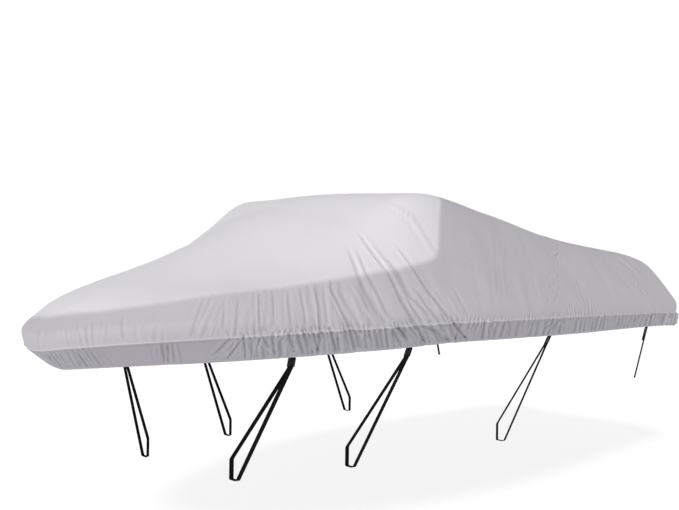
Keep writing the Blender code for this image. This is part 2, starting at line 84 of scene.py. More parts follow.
# A rib's corners are rounded over this many levels each way, and over this share of its last piece at the
# ridge. To starboard the crown's corner is lifted by this much, most at this rib and within this reach.
ROUND_SPAN = 0.25
RIDGE_CUT = 0.45
CORNER_LIFT = 0.03
CORNER_RIB = 6.0
CORNER_REACH = 1.6
# Where the cross seams lie: at each level, the rib.
BOW_SEAM = ((SEAM, 3.43), (RIDGE, 3.50))
STERN_SEAM = ((SEAM, 7.45), (BULGE, 7.37), (1.3, 7.40), (1.6, 7.48), (1.8, 7.55), (KNEE, 7.68),
              (2.25, 7.84), (2.75, 7.88), (SHOULDER, 8.10), (RIDGE, 8.45))
PANELS = ("bow", "mid", "stern")
AFT_SEAMS = {"bow": BOW_SEAM, "mid": STERN_SEAM}
SKIRT_STRIPS = (
    ("skirt_bow", "bow", SIDES),
    ("skirt_mid_port", "mid", (PORT,)),
    ("skirt_mid_starboard", "mid", (STARBOARD,)),
    ("skirt_stern", "stern", SIDES),
)
# The point under the top of the cloth that is the cover's origin.
CROWN = np.array((2.11789172, 0.0, 1.98584531))

# The main folds, as in the solids: side, line by rib and level, depth and width. A fold swells a little
# at its rims, and fades in and out over these shares of its line.
FOLD_COLUMNS = ("side", "line", "depth", "width")
FOLD_RIM = 0.6
FADE_IN = 0.25
FADE_OUT = 0.125
FOLDS = (
    (PORT, ((4.12, 2.2), (4.05, 0.5), (4.18, -1.0)), .007, .045),
    (PORT, ((4.24, 2.2), (4.38, 0.2), (4.62, -1.0)), .010, .050),
    (PORT, ((4.62, 2.6), (4.66, 1.4), (4.84, 0.3)), .008, .060),
    (PORT, ((4.90, 0.3), (5.08, -0.35), (5.28, -1.0)), .010, .050),
    (PORT, ((5.06, 2.3), (5.10, 1.4), (5.26, 0.1), (5.52, -1.0)), .012, .050),
    (PORT, ((5.20, 2.3), (5.26, 1.5), (5.44, 0.8), (5.82, -1.0)), .009, .055),
    (PORT, ((5.38, 2.3), (5.50, 1.5), (5.68, 0.7), (6.08, -1.0)), .009, .050),
    (PORT, ((7.04, 0.4), (7.06, -1.0)), .006, .045),
    (PORT, ((9.42, 3.3), (9.56, 1.9)), -.006, .055),
    (PORT, ((2.50, 0.2), (2.52, -1.0)), .005, .045),
    (STARBOARD, ((4.30, 2.3), (4.42, 0.3), (4.60, -1.0)), .010, .050),
    (STARBOARD, ((4.95, 2.4), (5.12, 1.2), (5.50, -0.9)), .011, .055),
    (STARBOARD, ((5.30, 2.4), (5.46, 1.3), (5.90, -0.9)), .009, .055),
    (STARBOARD, ((8.10, 2.4), (8.22, 0.3)), .006, .060),
    (STARBOARD, ((9.60, 3.2), (9.72, 1.8)), -.006, .055),
)

# Taut folds lie in flat upright planes. How far aft one runs for each metre it goes in, by rib.
FOLD_RAKE = ((0.0, -1.0), (2.0, 0.05), (3.0, 0.4), (4.0, 0.7), (6.0, 0.95), (9.0, 1.1), (10.0, 1.4),
             (13.0, 0.0))

# A row for each sharp crease of the port side: its line by rib and level, how deep it is, its width, and
# on which side its ridge stands: -1 towards the bow, 1 towards the stern. A negative depth is a ridge.
CREASE_COLUMNS = ("line", "depth", "width", "lean")
CREASES = (
    (((3.88, 2.02), (3.86, 1.14), (3.88, .40)), .0034, .008, .6),
    (((4.05, 2.00), (4.02, 1.22), (4.04, .30), (4.12, -.95)), .0042, .008, -.7),
    (((4.19, 2.10), (4.24, 1.48), (4.36, .56), (4.54, -.90)), .0066, .008, -1.0),
    (((4.30, .54), (4.48, -.88)), .0040, .007, .6),
    (((4.78, 2.94), (4.66, 2.52), (4.58, 1.90), (4.64, 1.38), (4.76, .38)), .0040, .012, .6),
    (((4.82, 2.82), (4.70, 2.08), (4.74, 1.60), (4.86, .62)), .0034, .010, -.7),
    (((4.86, .40), (5.04, -.20), (5.24, -.85)), .0120, .010, -1.0),
    (((5.02, 3.05), (4.96, 2.50), (4.98, 1.94), (5.06, 1.38), (5.20, .34), (5.52, -.98)), .0076, .009, 1.0),
    (((4.99, 1.80), (5.04, 1.20), (5.16, .50)), .0038, .007, -.6),
    (((5.06, 2.50), (5.12, 1.92), (5.18, 1.42), (5.40, .86), (5.70, -.10)), .0050, .012, -.6),
    (((5.28, 2.60), (5.34, 2.10), (5.48, 1.44), (5.84, -.12), (6.16, -1.0)), .0054, .009, -.9),
    (((5.26, .30), (5.58, -.35), (5.90, -1.0)), .0110, .012, 1.0),
    (((5.22, .30), (5.52, -.98)), .0050, .008, -1.0),
    (((5.76, .15), (5.86, -.15), (6.16, -1.0)), .0060, .009, -1.0),
    (((5.44, .35), (5.74, -.35)), -.0050, .012, .6),
    (((5.60, 3.25), (5.66, 2.72), (5.76, 2.20)), -.0030, .016, .6),
    (((5.86, 1.60), (5.98, .70), (6.10, .10)), .0022, .010, .5),
    (((6.56, .30), (6.74, -.60)), .0040, .010, -.6),
    (((6.30, .10), (6.42, -.80)), .0036, .010, .6),
    (((7.02, .40), (7.06, -.90)), .0040, .010, .7),
    (((7.34, .50), (7.22, -.98)), .0080, .010, -.8),
    (((7.46, .30), (7.34, -.95)), .0050, .008, .6),
    (((7.96, 1.95), (7.82, 1.20), (7.98, .36)), -.0030, .010, .6),
    (((9.44, 3.06), (9.40, 2.78), (9.56, 2.06)), -.0080, .014, -.9),
    (((9.14, 1.92), (9.30, 1.78), (9.34, 1.30)), -.0050, .011, -.8),
    (((9.08, 2.90), (9.22, 2.30)), -.0030, .014, -.6),
    (((8.92, 2.20), (9.02, 1.50)), .0024, .016, .5),
    (((6.80, 2.78), (6.62, 2.00), (6.40, 1.26)), -.0014, .016, .4),
    (((6.96, 2.60), (6.76, 2.00), (6.58, 1.20)), -.0013, .016, .4),
    (((7.48, 3.15), (7.20, .90)), .0020, .034, -.6),
    (((8.60, 2.95), (8.48, .80)), .0016, .034, .5),
    (((3.12, 2.00), (3.08, .10)), .0018, .008, .5),
    (((3.26, 2.02), (3.20, .05)), .0020, .008, -.6),
    (((2.50, .10), (2.52, -.95)), .0034, .007, .8),
    (((2.44, .05), (2.46, -.90)), .0026, .007, .6),
    (((3.14, .15), (3.00, -.75)), .0046, .009, -.7),
    (((3.20, .20), (3.10, -.60)), -.0036, .008, .5),
    (((3.44, .10), (3.43, -.60)), .0050, .007, .8),
    (((3.46, -.02), (3.54, -.45), (3.70, -.97)), .0056, .008, -.8),
    (((3.478, 2.10), (3.434, .02)), .0040, .0055, -1.0),
    (((1.94, 1.75), (2.00, .35)), .0018, .008, .5),
    (((3.60, 2.00), (3.58, .25)), .0018, .007, .5),
    (((3.76, 2.05), (3.74, .15)), .0022, .008, -.5),
)
# A crease fades out over the larger of this height and this share of its own, but runs off the hem where
# it reaches this level. Its ridge stands this many widths off, this high against its depth. Nothing is
# left of it, or of a small fold, this many widths away.
CREASE_FADE = 0.03
CREASE_FADE_SHARE = 0.25
CREASE_TO_HEM = -0.9
RIDGE_AT = 1.6
RIDGE_SHARE = 0.7
WIDTHS_SEEN = 3
# The starboard side creases alike, but not at the same places, and softer here and there.
STARBOARD_SHIFT = 0.11
STARBOARD_PACE = 2.1
STARBOARD_SOFTER = 0.4

# Rows of small folds, each of which stands by itself: the run along the rim between which they lie, how
# far apart, how deep, how much they lean (metres along for each metre up), and the rise between which
# they show. The cloth puckers at its seams, pleats round the bow and gathers round the stern.
RUFFLE_COLUMNS = ("first", "last", "pitch", "depth", "slant", "low", "high")
RUFFLES = (
    # Pleats and gathers of the skirt, from the bow to the stern.
    (0.00, 0.20, .0150, .0052, -.45, -.170, -.006),
    (0.20, 0.36, .0125, .0046, -.45, -.160, -.008),
    (0.36, 0.44, .0110, .0022, -.35, -.150, -.015),
    (0.64, 0.77, .0120, .0022, -.05, -.145, -.004),
    (0.97, 1.08, .0220, .0042, .80, -.125, -.002),
    (1.06, 1.30, .0170, .0048, -.10, -.140, .004),
    (1.28, 1.62, .0200, .0074, -.22, -.140, .010),
    (1.60, 1.86, .0170, .0054, -.25, -.140, -.002),
    (1.84, 2.32, .0300, .0060, -.80, -.125, .010),
    (2.30, 3.25, .0300, .0078, .10, -.130, .004),
    (3.25, 4.25, .0270, .0080, -.15, -.132, -.003),
    (4.25, 4.60, .0330, .0120, .00, -.132, -.003),
    (4.60, 5.30, .0400, .0160, .00, -.132, -.003),
    (5.30, 6.36, .0300, .0085, .05, -.132, -.003),
    # Puckers through the rim seam.
    (1.02, 1.32, .0120, .0022, .35, -.040, .030),
    (1.00, 1.34, .0150, .0024, -.30, -.030, .040),
    (1.28, 1.66, .0125, .0034, -.40, -.030, .040),
    (1.66, 1.95, .0130, .0042, -.30, -.045, .040),
    (1.95, 2.30, .0170, .0042, -.60, -.030, .055),
    (2.28, 2.90, .0160, .0026, .30, -.035, .030),
    (2.90, 3.26, .0150, .0042, .40, -.060, .034),
    (3.34, 3.70, .0180, .0030, -.30, -.010, .100),
    (3.70, 4.90, .0300, .0026, .20, -.012, .025),
    # Streaks of the band between the rim and the knee.
    (0.05, 0.22, .0200, .0012, .00, .000, .120),
    (0.20, 0.45, .0130, .0016, -.15, .000, .130),
    (0.45, 0.74, .0200, .0008, -.10, .005, .100),
    (0.76, 1.02, .0130, .0009, .38, .012, .240),
    (0.80, 1.04, .0310, .0010, .28, .020, .230),
    (1.00, 1.20, .0120, .0005, .12, .010, .250),
    (1.18, 1.36, .0120, .0006, -.05, .010, .260),
    (1.34, 1.58, .0125, .0011, -.18, .010, .260),
    (1.36, 1.62, .0280, .0020, -.20, .020, .250),
    (1.58, 1.98, .0360, .0022, -.50, .015, .230),
    (1.98, 2.34, .0300, .0026, -.70, .015, .200),
    (2.40, 3.10, .0800, .0022, -.15, .040, .400),
    (3.36, 3.66, .0250, .0014, -.10, .010, .160),
    (5.30, 6.30, .0450, .0016, .10, .010, .120),
)
# No two small folds are alike: how far each strays from its row's pitch, slant, depth and foot, and the
# shares between which its width and its top lie. Every other one is a trough, a little less deep.
PITCH_JITTER = 0.32
SLANT_JITTER = 0.10
DEPTH_JITTER = 0.40
FOOT_JITTER = 0.3
RUFFLE_WIDTHS = (0.7, 1.35)
RUFFLE_TOPS = (0.7, 1.08)
RUFFLE_SHARE = 0.40
RUFFLE_SOFT = 0.022
TROUGH_SHARE = 0.8
# They gather in patches: how long two of their waves are, how much they take from a fold, and the least
# and the most that is left of its depth.
PATCHES = (0.27, 0.62)
PATCHY = 0.55
SHALLOWEST = 0.1
DEEPEST = 1.6
SEED = 11

# The puckers beside the cross seams, in the same columns, with the runs of the table above taken up the
# seam and its rises taken aft of it.
BOW_SEAM_PUCKERS = ((0.02, 0.30, .024, .0016, .0, -.030, .030),)
STERN_SEAM_PUCKERS = (
    (-0.12, 0.90, .026, .0022, .2, -.026, .016),
    (0.05, 0.95, .062, .0030, .5, -.095, .004),
)
# The lap of a cross seam, with the groove beside it, and the bead of the rim seam.
LAP_WIDE = 0.013
LAP_HIGH = 0.0017
LAP_EDGE = 0.003
LAP_GROOVE = 0.8
BEAD_HIGH = 0.0020
BEAD_WIDE = 0.005
# Above its knee the bow seam is pulled this flat, as a share of its height.
BOW_LAP_FLAT = 0.96
# The hem is drawn tight, which flattens the folds over the last of the skirt.
HEM_FLAT_LEVELS = (-0.80, -0.98)
HEM_FLAT = 0.7
# Crests of folds get a painted highlight and creases a painted shade: how wide a stretch each point is held
# against, and how far it must stand out from it.
CREST_REACH = 0.020
CREST_HIGH = 0.0016
# The rim seam stands proud and gets a painted highlight, and a painted shadow lies just below it: how much,
# where by the rise and how wide.
RIM_PAINTED_LIGHT = ((1.7, 0.002, 0.0055), (-0.5, -0.010, 0.006))

# The cloth hangs a little slack between its folds: a row for each slow wave, by how far one wave is along
# the cover and across it, how deep it is and where it starts.
SLACK_COLUMNS = ("along", "across", "depth", "start")
SLACK = (
    (0.62, 0.90, .0022, 0.4),
    (-0.41, 0.55, .0014, 2.0),
    (0.27, -0.71, .0008, 4.1),
    (0.19, 0.33, .0005, 1.2),
)
# The waves start this far above the rim and end below this level. All loose folds fade out towards the
# bow tip and the middle of the stern, and by levels towards the ridge.
SLACK_RISE = 0.25
SLACK_TOP = 3.4
SLACK_TOP_FADE = 0.8
CENTRE_FADE = 0.07
RIDGE_FADE = 0.4

# Painted light: the top that lies open to the sky is painted paler, as if lit: its edge, by rib and level,
# and how soft that is. The starboard edge starts lower at the bow.
PAINTED_LIGHT_EDGE = ((0.0, 2.00), (0.5, 2.04), (1.0, 2.03), (1.5, 2.00), (2.0, 2.02), (5.06, 2.05),
               (5.34, 2.09), (5.56, 2.14), (5.72, 2.20), (5.82, 2.27), (5.90, 2.35), (5.96, 2.45),
               (6.04, 2.58), (6.12, 2.74), (6.20, 2.90), (6.35, 3.20), (6.60, 4.0))
PAINTED_LIGHT_EDGE_STARBOARD_BOW = ((0.0, 2.00), (0.5, 1.95), (0.75, 1.86), (1.0, 1.75), (1.5, 1.68),
                             (2.4, 2.02))
PAINTED_LIGHT_SOFT = ((0.0, 0.060), (3.0, 0.050), (5.0, 0.045), (6.2, 0.030))
PAINTED_LIGHT_EDGE_POINTS = 90

# How fine the sheets are: the pitch of their rows along the rim, and the columns between levels.
CANOPY_PITCH = {"bow": 0.0040, "mid": 0.0030, "stern": 0.0052}
SKIRT_PITCH = 0.0027
CANOPY_STEPS = ((SEAM, 0.16, 6), (0.16, BULGE, 8), (BULGE, KNEE, 20), (KNEE, SHOULDER, 14),
                (SHOULDER, RIDGE, 14))
SKIRT_STEPS = ((HEM, -0.12, 15), (-0.12, SEAM, 5))
# The hem turns in by this radius and goes up this far inside.
HEM_RADIUS = 0.0026
HEM_DEEP = 0.024
HEM_TURNS = 5
HEM_EDGE = 0.001
# Points this near to each other are one, in a sheet and in webbing.
CLOTH_MERGE = 0.00005
WEBBING_MERGE = 0.00003

# A row for each tie-down, as in the solids.
TIE_COLUMNS = ("side", "name", "rib", "foot_out", "foot_top", "looped")
TIES = (
    (PORT, "port_1", 3.84, 0.367, 0.514, True),
    (PORT, "port_2", 5.28, 0.590, 0.525, True),
    (PORT, "port_3", 7.42, 0.736, 0.525, True),
    (PORT, "port_4", 9.50, 0.926, 0.730, False),
    (STARBOARD, "starboard_1", 3.60, 0.410, 0.525, True),
    (STARBOARD, "starboard_2", 5.20, 0.580, 0.525, True),
    (STARBOARD, "starboard_3", 7.40, 0.736, 0.525, True),
    (STARBOARD, "starboard_4", 9.45, 0.930, 0.740, False),
)
# A tab holds the cloth round it flat, out to about this far.
TAB_FLAT_REACH = 0.08
CLOTH_THICK = 0.002
WEBBING_WIDTH = 0.025
WEBBING_THICK = 0.0018
# The square foot of a loop, and the share of a run over which its two ends join.
LOOP_HIGH = 0.105
LOOP_WIDE = 0.055
LOOP_CORNER = 0.008
LOOP_JOIN = 0.02
# How far up a tab is sewn inside the skirt, at which shares of that its back run lies, how much looser it
# is at the lower one, its clearance, and how far below the hem its turn starts.
TAB_INSIDE = 0.032
TAB_BACK = (0.2, 0.8)
TAB_LOOSE = 1.3
TAB_CLEAR = 0.0005
TAB_BELOW = 0.009
# A slider, the clearance of the webbing round its bars, and how far in from the tab its middle lies.
BUCKLE_LONG = 0.056
BUCKLE_WIDE = 0.040
BUCKLE_THICK = 0.007
BUCKLE_BAR = 0.005
SLOT_HIGH = 0.006
BUCKLE_CORNER = 0.006
BAR_CLEAR = 0.0005
BUCKLE_IN = BUCKLE_THICK / 2 + BAR_CLEAR + WEBBING_THICK / 2
# The tail of a single run, how round the webbing turns, and the most of a straight that a turn takes.
TAIL_LONG = 0.045
TURN_ROUND = 0.004
CORNER_SHARE = 0.45
# The hem's way at a tie-down is taken between the ribs this far off.
TIE_STEP = 0.02
# Half of the webbing's section, from the middle of one face round an edge to the other, as shares of half
# its width and half its thickness.
WEBBING_SECTION = ((0, -1), (0.5, -1), (0.93, -1), (0.985, -0.7), (1, 0), (0.985, 0.7), (0.93, 1),
                   (0.5, 1), (0, 1))
# Edges that turn by more than this, in radians, are rounded, and those over this many degrees stay sharp.
SLIDER_SQUARE = 1.2
SLIDER_SHARP_DEGREES = 50
SLIDER_EDGE = 0.0011
SLIDER_RIBS = 4
SLIDER_RIB_SIZE = (0.62 * BUCKLE_WIDE, 0.0022, BUCKLE_THICK + 0.0016)
SLIDER_RIB_EDGE = 0.0006
SLIDER_RIB_INSET = 0.005

# Stitches: how far apart, how wide the thread is, how far it rises and dips, and how high its crest and
# its edges lie, as shares of its width.
STITCH_PITCH = 0.0055
STITCH_RINGS = 4
STITCH_WIDE = 0.0011
STITCH_HIGH = 0.0007
STITCH_CREST = 0.4
STITCH_SUNK = 0.2
RIM_STITCH = 0.007
HEM_STITCH = 0.020
LAP_STITCHES = (-0.004, -0.010)

# The camera, which sees the cover from off its port bow.
CAMERA_PLACE = (-3.69480, -3.75432, -0.45585)
CAMERA_RIGHT = (0.72423, -0.68942, 0.01364)
CAMERA_UP = (-0.02044, -0.00169, 0.99979)
CAMERA_AHEAD = (0.68925, 0.72436, 0.01531)
CAMERA_LENS = 42.415
CAMERA_SENSOR = 36.0

# The way the key light shines, from above the bow and a little from port, and how wide it looks.
KEY_WAY = (0.662, 0.337, -0.669)
KEY_DEGREES = 12
# The floor glows a little, so that it stays even and pale.
FLOOR_SIZE = 60.0
FLOOR_GREY = 0.30
FLOOR_GLOW = 0.77
WHITE = (1.0, 1.0, 1.0, 1.0)


class CoverSettings(bpy.types.PropertyGroup):
    """What a user would change on the cloth."""

    cloth_colour: bpy.props.FloatVectorProperty(
        name="Cloth", description="Colour of the coated cloth", subtype="COLOR", size=3,
        min=0.0, max=1.0, default=(0.460, 0.448, 0.476))
    # Painted light: the cloth's colour on the open top, painted paler where light falls on it.
    painted_light_colour: bpy.props.FloatVectorProperty(
        name="Open top", description="Colour of the cloth where the sky has bleached it", subtype="COLOR",
        size=3, min=0.0, max=1.0, default=(0.662, 0.649, 0.669))
    # Painted shade: the same cloth painted darker below the rim seam, where the skirt faces down into
    # shade.
    painted_shade_skirt_colour: bpy.props.FloatVectorProperty(
        name="Skirt", description="Colour of the cloth below the rim seam", subtype="COLOR", size=3,
        min=0.0, max=1.0, default=(0.372, 0.366, 0.398))
    fold_scale: bpy.props.FloatProperty(
        name="Folds", description="How deep the fine folds are, against the ones set here",
        min=0.0, max=2.0, default=1.0)


class StageSettings(bpy.types.PropertyGroup):
    """What a user would change on the studio."""

    floor_below: bpy.props.FloatProperty(
        name="Floor below", description="How far the floor lies below the top of the cover",
        unit="LENGTH", default=1.986)
    key_strength: bpy.props.FloatProperty(
        name="Key light", description="Strength of the light off the bow", min=0.0, default=2.0)
    fill_strength: bpy.props.FloatProperty(
        name="Fill light", description="Strength of the light from all round", min=0.0, default=0.45)


def rows_of(table, columns):
    """The rows of a table, each as its values by name."""
    return [dict(zip(columns, row)) for row in table]


# The shape of the cloth


def rib_values(rib):
    """Every column at these rib numbers, by a smooth curve through the rows."""
    table = np.array([row[1:] for row in RIBS])
    mirrored = table.copy()
    mirrored[:, RIB_COLUMNS.index("half_beam")] *= -1
    rows = np.concatenate([mirrored[2:0:-1], table, mirrored[-2:-4:-1]])
    place = rib + 2
    low = np.clip(place.astype(int), 1, len(rows) - 3)
    t = (place - low)[..., None]
    a, b, c, d = (rows[low + k] for k in (-1, 0, 1, 2))
    return b + 0.5 * t * (c - a + t * (2 * a - 5 * b + 4 * c - d + t * (3 * (b - c) + d - a)))


def rib_corners(rib, side):
    """The corners of these ribs, from hem to ridge and one beyond it, and how long their rounding is."""
    value = dict(zip(RIB_COLUMNS, np.moveaxis(rib_values(rib), -1, 0)))
    to_ridge = np.stack([value["ridge_aft"] - value["aft"], -value["half_beam"]], -1)
    inward = to_ridge / np.linalg.norm(to_ridge, axis=-1, keepdims=True)

    def corner(distance_in, up):
        x = value["aft"] + inward[..., 0] * distance_in
        y = value["half_beam"] + inward[..., 1] * distance_in
        return np.stack([x, side * y, value["seam"] + up], -1)

    zero = np.zeros_like(value["aft"])
    ridge = np.stack([value["ridge_aft"], zero, value["seam"] + value["ridge_up"]], -1)
    corners = [
        corner(value["tuck_in"], -value["tuck_down"]),
        corner(zero, zero),
        corner(-value["bulge_out"], value["bulge_up"]),
        corner(value["knee_in"], value["knee_up"]),
        corner(value["shoulder_in"], value["shoulder_up"]),
        ridge,
        corner(value["shoulder_in"], value["shoulder_up"]) * (1, -1, 1),
    ]
    return corners, value["knee_round"], value["shoulder_round"]


def rounded_rib(corners, knee_round, shoulder_round, level):
    """Points at these levels (0 to 4) of ribs whose corners are rounded off by soft curves."""
    path = np.stack(corners[1:], 0)
    step = np.diff(path, axis=0)
    length = np.linalg.norm(step, axis=-1)
    way = step / length[..., None]
    cut = [np.zeros_like(length[0]), 0.5 * np.minimum(length[0], length[1])]
    cut.append(np.minimum(knee_round, 0.5 * np.minimum(length[1], length[2])))
    cut.append(np.minimum(shoulder_round, 0.5 * np.minimum(length[2], length[3])))
    cut.append(RIDGE_CUT * length[3])
    middle = [0.5 * (cut[k] + length[k] - cut[k + 1]) for k in range(4)]
    points = path[0] + way[0] * (np.clip(level, 0, 1) * (length[0] - cut[1]))[..., None]
    nearest = np.floor(level + 0.5).astype(int)
    for k in range(1, 5):
        part = level - k
        to_before = length[k - 1] - middle[k - 1]
        to_after = middle[k] if k < 4 else cut[k]
        t = np.clip((part + ROUND_SPAN) / (2 * ROUND_SPAN), 0, 1)[..., None]
        start = path[k] - way[k - 1] * cut[k][..., None]
        end = path[k] + way[k] * cut[k][..., None]
        arc = (1 - t) ** 2 * start + 2 * t * (1 - t) * path[k] + t * t * end
        s = np.clip((part + 0.5) / (0.5 - ROUND_SPAN), 0, 1)
        lead_in = path[k] - way[k - 1] * ((1 - s) * to_before + s * cut[k])[..., None]
        s = np.clip((part - ROUND_SPAN) / (0.5 - ROUND_SPAN), 0, 1)
        lead_out = path[k] + way[k] * ((1 - s) * cut[k] + s * to_after)[..., None]
        before_arc = (part < -ROUND_SPAN)[..., None]
        after_arc = (part > ROUND_SPAN)[..., None]
        here = np.where(before_arc, lead_in, np.where(after_arc, lead_out, arc))
        points = np.where((nearest == k)[..., None], here, points)
    return points


def smooth_point(rib, level, side):
    """The cover before its folds, at these ribs and levels, with its top as the origin."""
    rib, level = np.broadcast_arrays(np.asarray(rib, float), np.asarray(level, float))
    corners, knee_round, shoulder_round = rib_corners(rib, side)
    points = rounded_rib(corners, knee_round, shoulder_round, np.clip(level, SEAM, RIDGE))
    below = corners[1] + (corners[1] - corners[0]) * level[..., None]
    points = np.where((level < SEAM)[..., None], below, points)
    if side == STARBOARD:
        along = np.clip(1 - ((rib - CORNER_RIB) / CORNER_REACH) ** 2, 0, 1) ** 2
        across = np.sin(math.pi * np.clip(level - KNEE, 0, RIDGE - KNEE) / (RIDGE - KNEE)) ** 2
        points[..., 2] += CORNER_LIFT * along * across
    return points - CROWN


def face_normal(rib, level, side, above):
    """The outward normal, taken on the cloth above the seam or on the skirt below it."""
    step = 1e-3
    ridge_short = 20 * step
    if above:
        low = np.clip(level - step, SEAM, RIDGE - ridge_short)
        high = low + 2 * step
    else:
        high = np.clip(level + step, HEM + 2 * step, SEAM)
        low = high - 2 * step
    middle = (low + high) / 2
    climb = smooth_point(rib, high, side) - smooth_point(rib, low, side)
    run = smooth_point(rib + step, middle, side) - smooth_point(rib - step, middle, side)
    normal = np.cross(run, climb) * -side
    on_centreline = (level == RIDGE) | (rib == 0) | (rib == LAST_RIB)
    normal[..., 1] = np.where(on_centreline, 0, normal[..., 1])
    return normal / np.linalg.norm(normal, axis=-1, keepdims=True)


def push_direction(rib, level, side):
    """The way a fold pushes out, turning steadily from the skirt's to the top cloth's across the seam."""
    above = face_normal(rib, np.maximum(level, SEAM), side, True)
    below = face_normal(rib, np.minimum(level, SEAM), side, False)
    direction = below + (above - below) * eased(level + 0.5)[..., None]
    return direction / np.linalg.norm(direction, axis=-1, keepdims=True)


def distance_to_line(points, line):
    """How far each point is from a line of straight pieces, and the share of the line before that."""
    lengths = np.linalg.norm(np.diff(line, axis=0), axis=1)
    nearest = np.full(points.shape[:-1], np.inf)
    along = np.zeros(points.shape[:-1])
    done = 0.0
    for start, end, length in zip(line[:-1], line[1:], lengths):
        t = np.clip(((points - start) @ (end - start)) / length**2, 0, 1)
        distance = np.linalg.norm(points - start - t[..., None] * (end - start), axis=-1)
        closer = distance < nearest
        nearest = np.where(closer, distance, nearest)
        along = np.where(closer, done + t * length, along)
        done += length
    return nearest, along / done


def main_folds(points, side):
    """How far out the main folds push the cloth at these points: in at a trough, out at a ridge."""
    out = np.zeros(points.shape[:-1])
    for row in rows_of(FOLDS, FOLD_COLUMNS):
        if row["side"] != side:
            continue
        rib, level = np.array(row["line"]).T
        distance, along = distance_to_line(points, smooth_point(rib, level, side))
        across = (distance / row["width"]) ** 2
        reaches_hem = level[-1] <= HEM
        fade = np.clip(along / FADE_IN, 0, 1) * np.clip((1 - along) / FADE_OUT + reaches_hem, 0, 1)
        out -= row["depth"] * fade * (1 - FOLD_RIM * across) * np.exp(-across)
    return out


def path_run(path):
    """How far along a path each of its points lies."""
    return np.concatenate([[0], np.cumsum(np.linalg.norm(np.diff(path, axis=0), axis=1))])


RUN_RIBS = np.linspace(0, LAST_RIB, 100 * LAST_RIB + 1)
RUN_TABLE = path_run(smooth_point(RUN_RIBS, SEAM, PORT))


def rim_run(rib):
    """How far along the rim seam this rib stands from the bow tip, in metres."""
    return np.interp(rib, RUN_RIBS, RUN_TABLE)


def rim_rib(run):
    """The rib that stands this far along the rim seam."""
    return np.interp(run, RUN_TABLE, RUN_RIBS)


def fold_place(rib, level, side):
    """Which raked plane each point lies in, by the run where that plane cuts the rim seam, and how high
    the point stands above the seam."""
    point, rim, ridge = (smooth_point(rib, at, side) for at in (level, SEAM, RIDGE))
    to_rim, to_point = (np.linalg.norm((end - ridge)[..., :2], axis=-1) for end in (rim, point))
    return rim_run(rib) - (to_rim - to_point) * np.interp(rib, *zip(*FOLD_RAKE)), (point - rim)[..., 2]


def eased(share):
    """A soft climb from 0 to 1, flat at both ends."""
    share = np.clip(share, 0, 1)
    return share * share * (3 - 2 * share)


def creases(plane, up, side):
    """The sharp creases: a narrow trough with a ridge along one edge, or the other way round."""
    out = np.zeros_like(plane)
    for number, row in enumerate(rows_of(CREASES, CREASE_COLUMNS)):
        shift, depth = 0.0, row["depth"]
        if side == STARBOARD:
            shift = STARBOARD_SHIFT * math.sin(STARBOARD_PACE * number)
            depth *= 1 - STARBOARD_SOFTER * abs(math.sin(STARBOARD_PACE * number + 1))
        rib, level = np.array(row["line"]).T
        centre, height = fold_place(rib + shift, level, side)
        order = np.argsort(height)
        centre, height = centre[order], height[order]
        slant = (centre[-1] - centre[0]) / (height[-1] - height[0])
        across = (plane - np.interp(up, height, centre)) / (row["width"] * math.hypot(1, slant))
        near = np.abs(across) < RIDGE_AT + WIDTHS_SEEN
        across, here = across[near], up[near]
        soft = max(CREASE_FADE, CREASE_FADE_SHARE * (height[-1] - height[0]))
        fade = eased((height[-1] - here) / soft)
        if level[-1] > CREASE_TO_HEM:
            fade = fade * eased((here - height[0]) / soft)
        from_ridge = across - RIDGE_AT * np.sign(row["lean"])
        ridge = RIDGE_SHARE * abs(row["lean"]) * np.exp(-(from_ridge**2))
        out[near] += depth * fade * (ridge - np.exp(-across**2))
    return out


def small_folds(at, up, height, row, dice):
    """A row of small folds across a line: at is the place along the line, up is what the folds lean by,
    and height is the place across the line."""
    out = np.zeros_like(at)
    tall = row["high"] - row["low"]
    soft = min(RUFFLE_SOFT, 0.5 * tall)
    count = max(1, round((row["last"] - row["first"]) / row["pitch"]))
    starts = dice.uniform(0, math.tau, len(PATCHES))
    for number in range(count):
        place = row["first"] + row["pitch"] * (number + 0.5 + PITCH_JITTER * dice.normal())
        slant = row["slant"] + SLANT_JITTER * dice.normal()
        gathered = sum(math.sin(math.tau * place / long + start) for long, start in zip(PATCHES, starts))
        share = (1 + DEPTH_JITTER * dice.normal()) * (1 + PATCHY * gathered)
        depth = row["depth"] * min(max(share, SHALLOWEST), DEEPEST)
        width = RUFFLE_SHARE * row["pitch"] * dice.uniform(*RUFFLE_WIDTHS)
        low = row["low"] + FOOT_JITTER * RUFFLE_SOFT * dice.normal()
        high = row["low"] + tall * dice.uniform(*RUFFLE_TOPS)
        near = np.abs(at - place) < WIDTHS_SEEN * width + abs(slant) * tall
        across = (at[near] - place - slant * up[near]) / width
        fade = eased((height[near] - low) / soft + 0.5) * eased((high - height[near]) / soft + 0.5)
        out[near] += depth * fade * np.exp(-across**2) * (1 if number % 2 else -TROUGH_SHARE)
    return out


def seam_rib(seam, level):
    """The rib where a cross seam stands at this level."""
    return np.interp(level, *zip(*seam))


def sewn_relief(rise, from_bow_seam, from_stern_seam, level):
    """What the sewing raises: a bead along the rim seam and a lap along each cross seam."""
    out = BEAD_HIGH * np.exp(-((rise / BEAD_WIDE) ** 2))
    for away, pulled_flat in ((from_bow_seam, BOW_LAP_FLAT), (from_stern_seam, 0.0)):
        high = LAP_HIGH * (1 - pulled_flat * eased(level - BULGE))
        lap = eased((away + LAP_WIDE) / LAP_EDGE) * eased((LAP_EDGE / 2 - away) / LAP_EDGE)
        groove = np.exp(-(((away - LAP_EDGE) / LAP_EDGE) ** 2))
        out += high * (lap - LAP_GROOVE * groove)
    return out


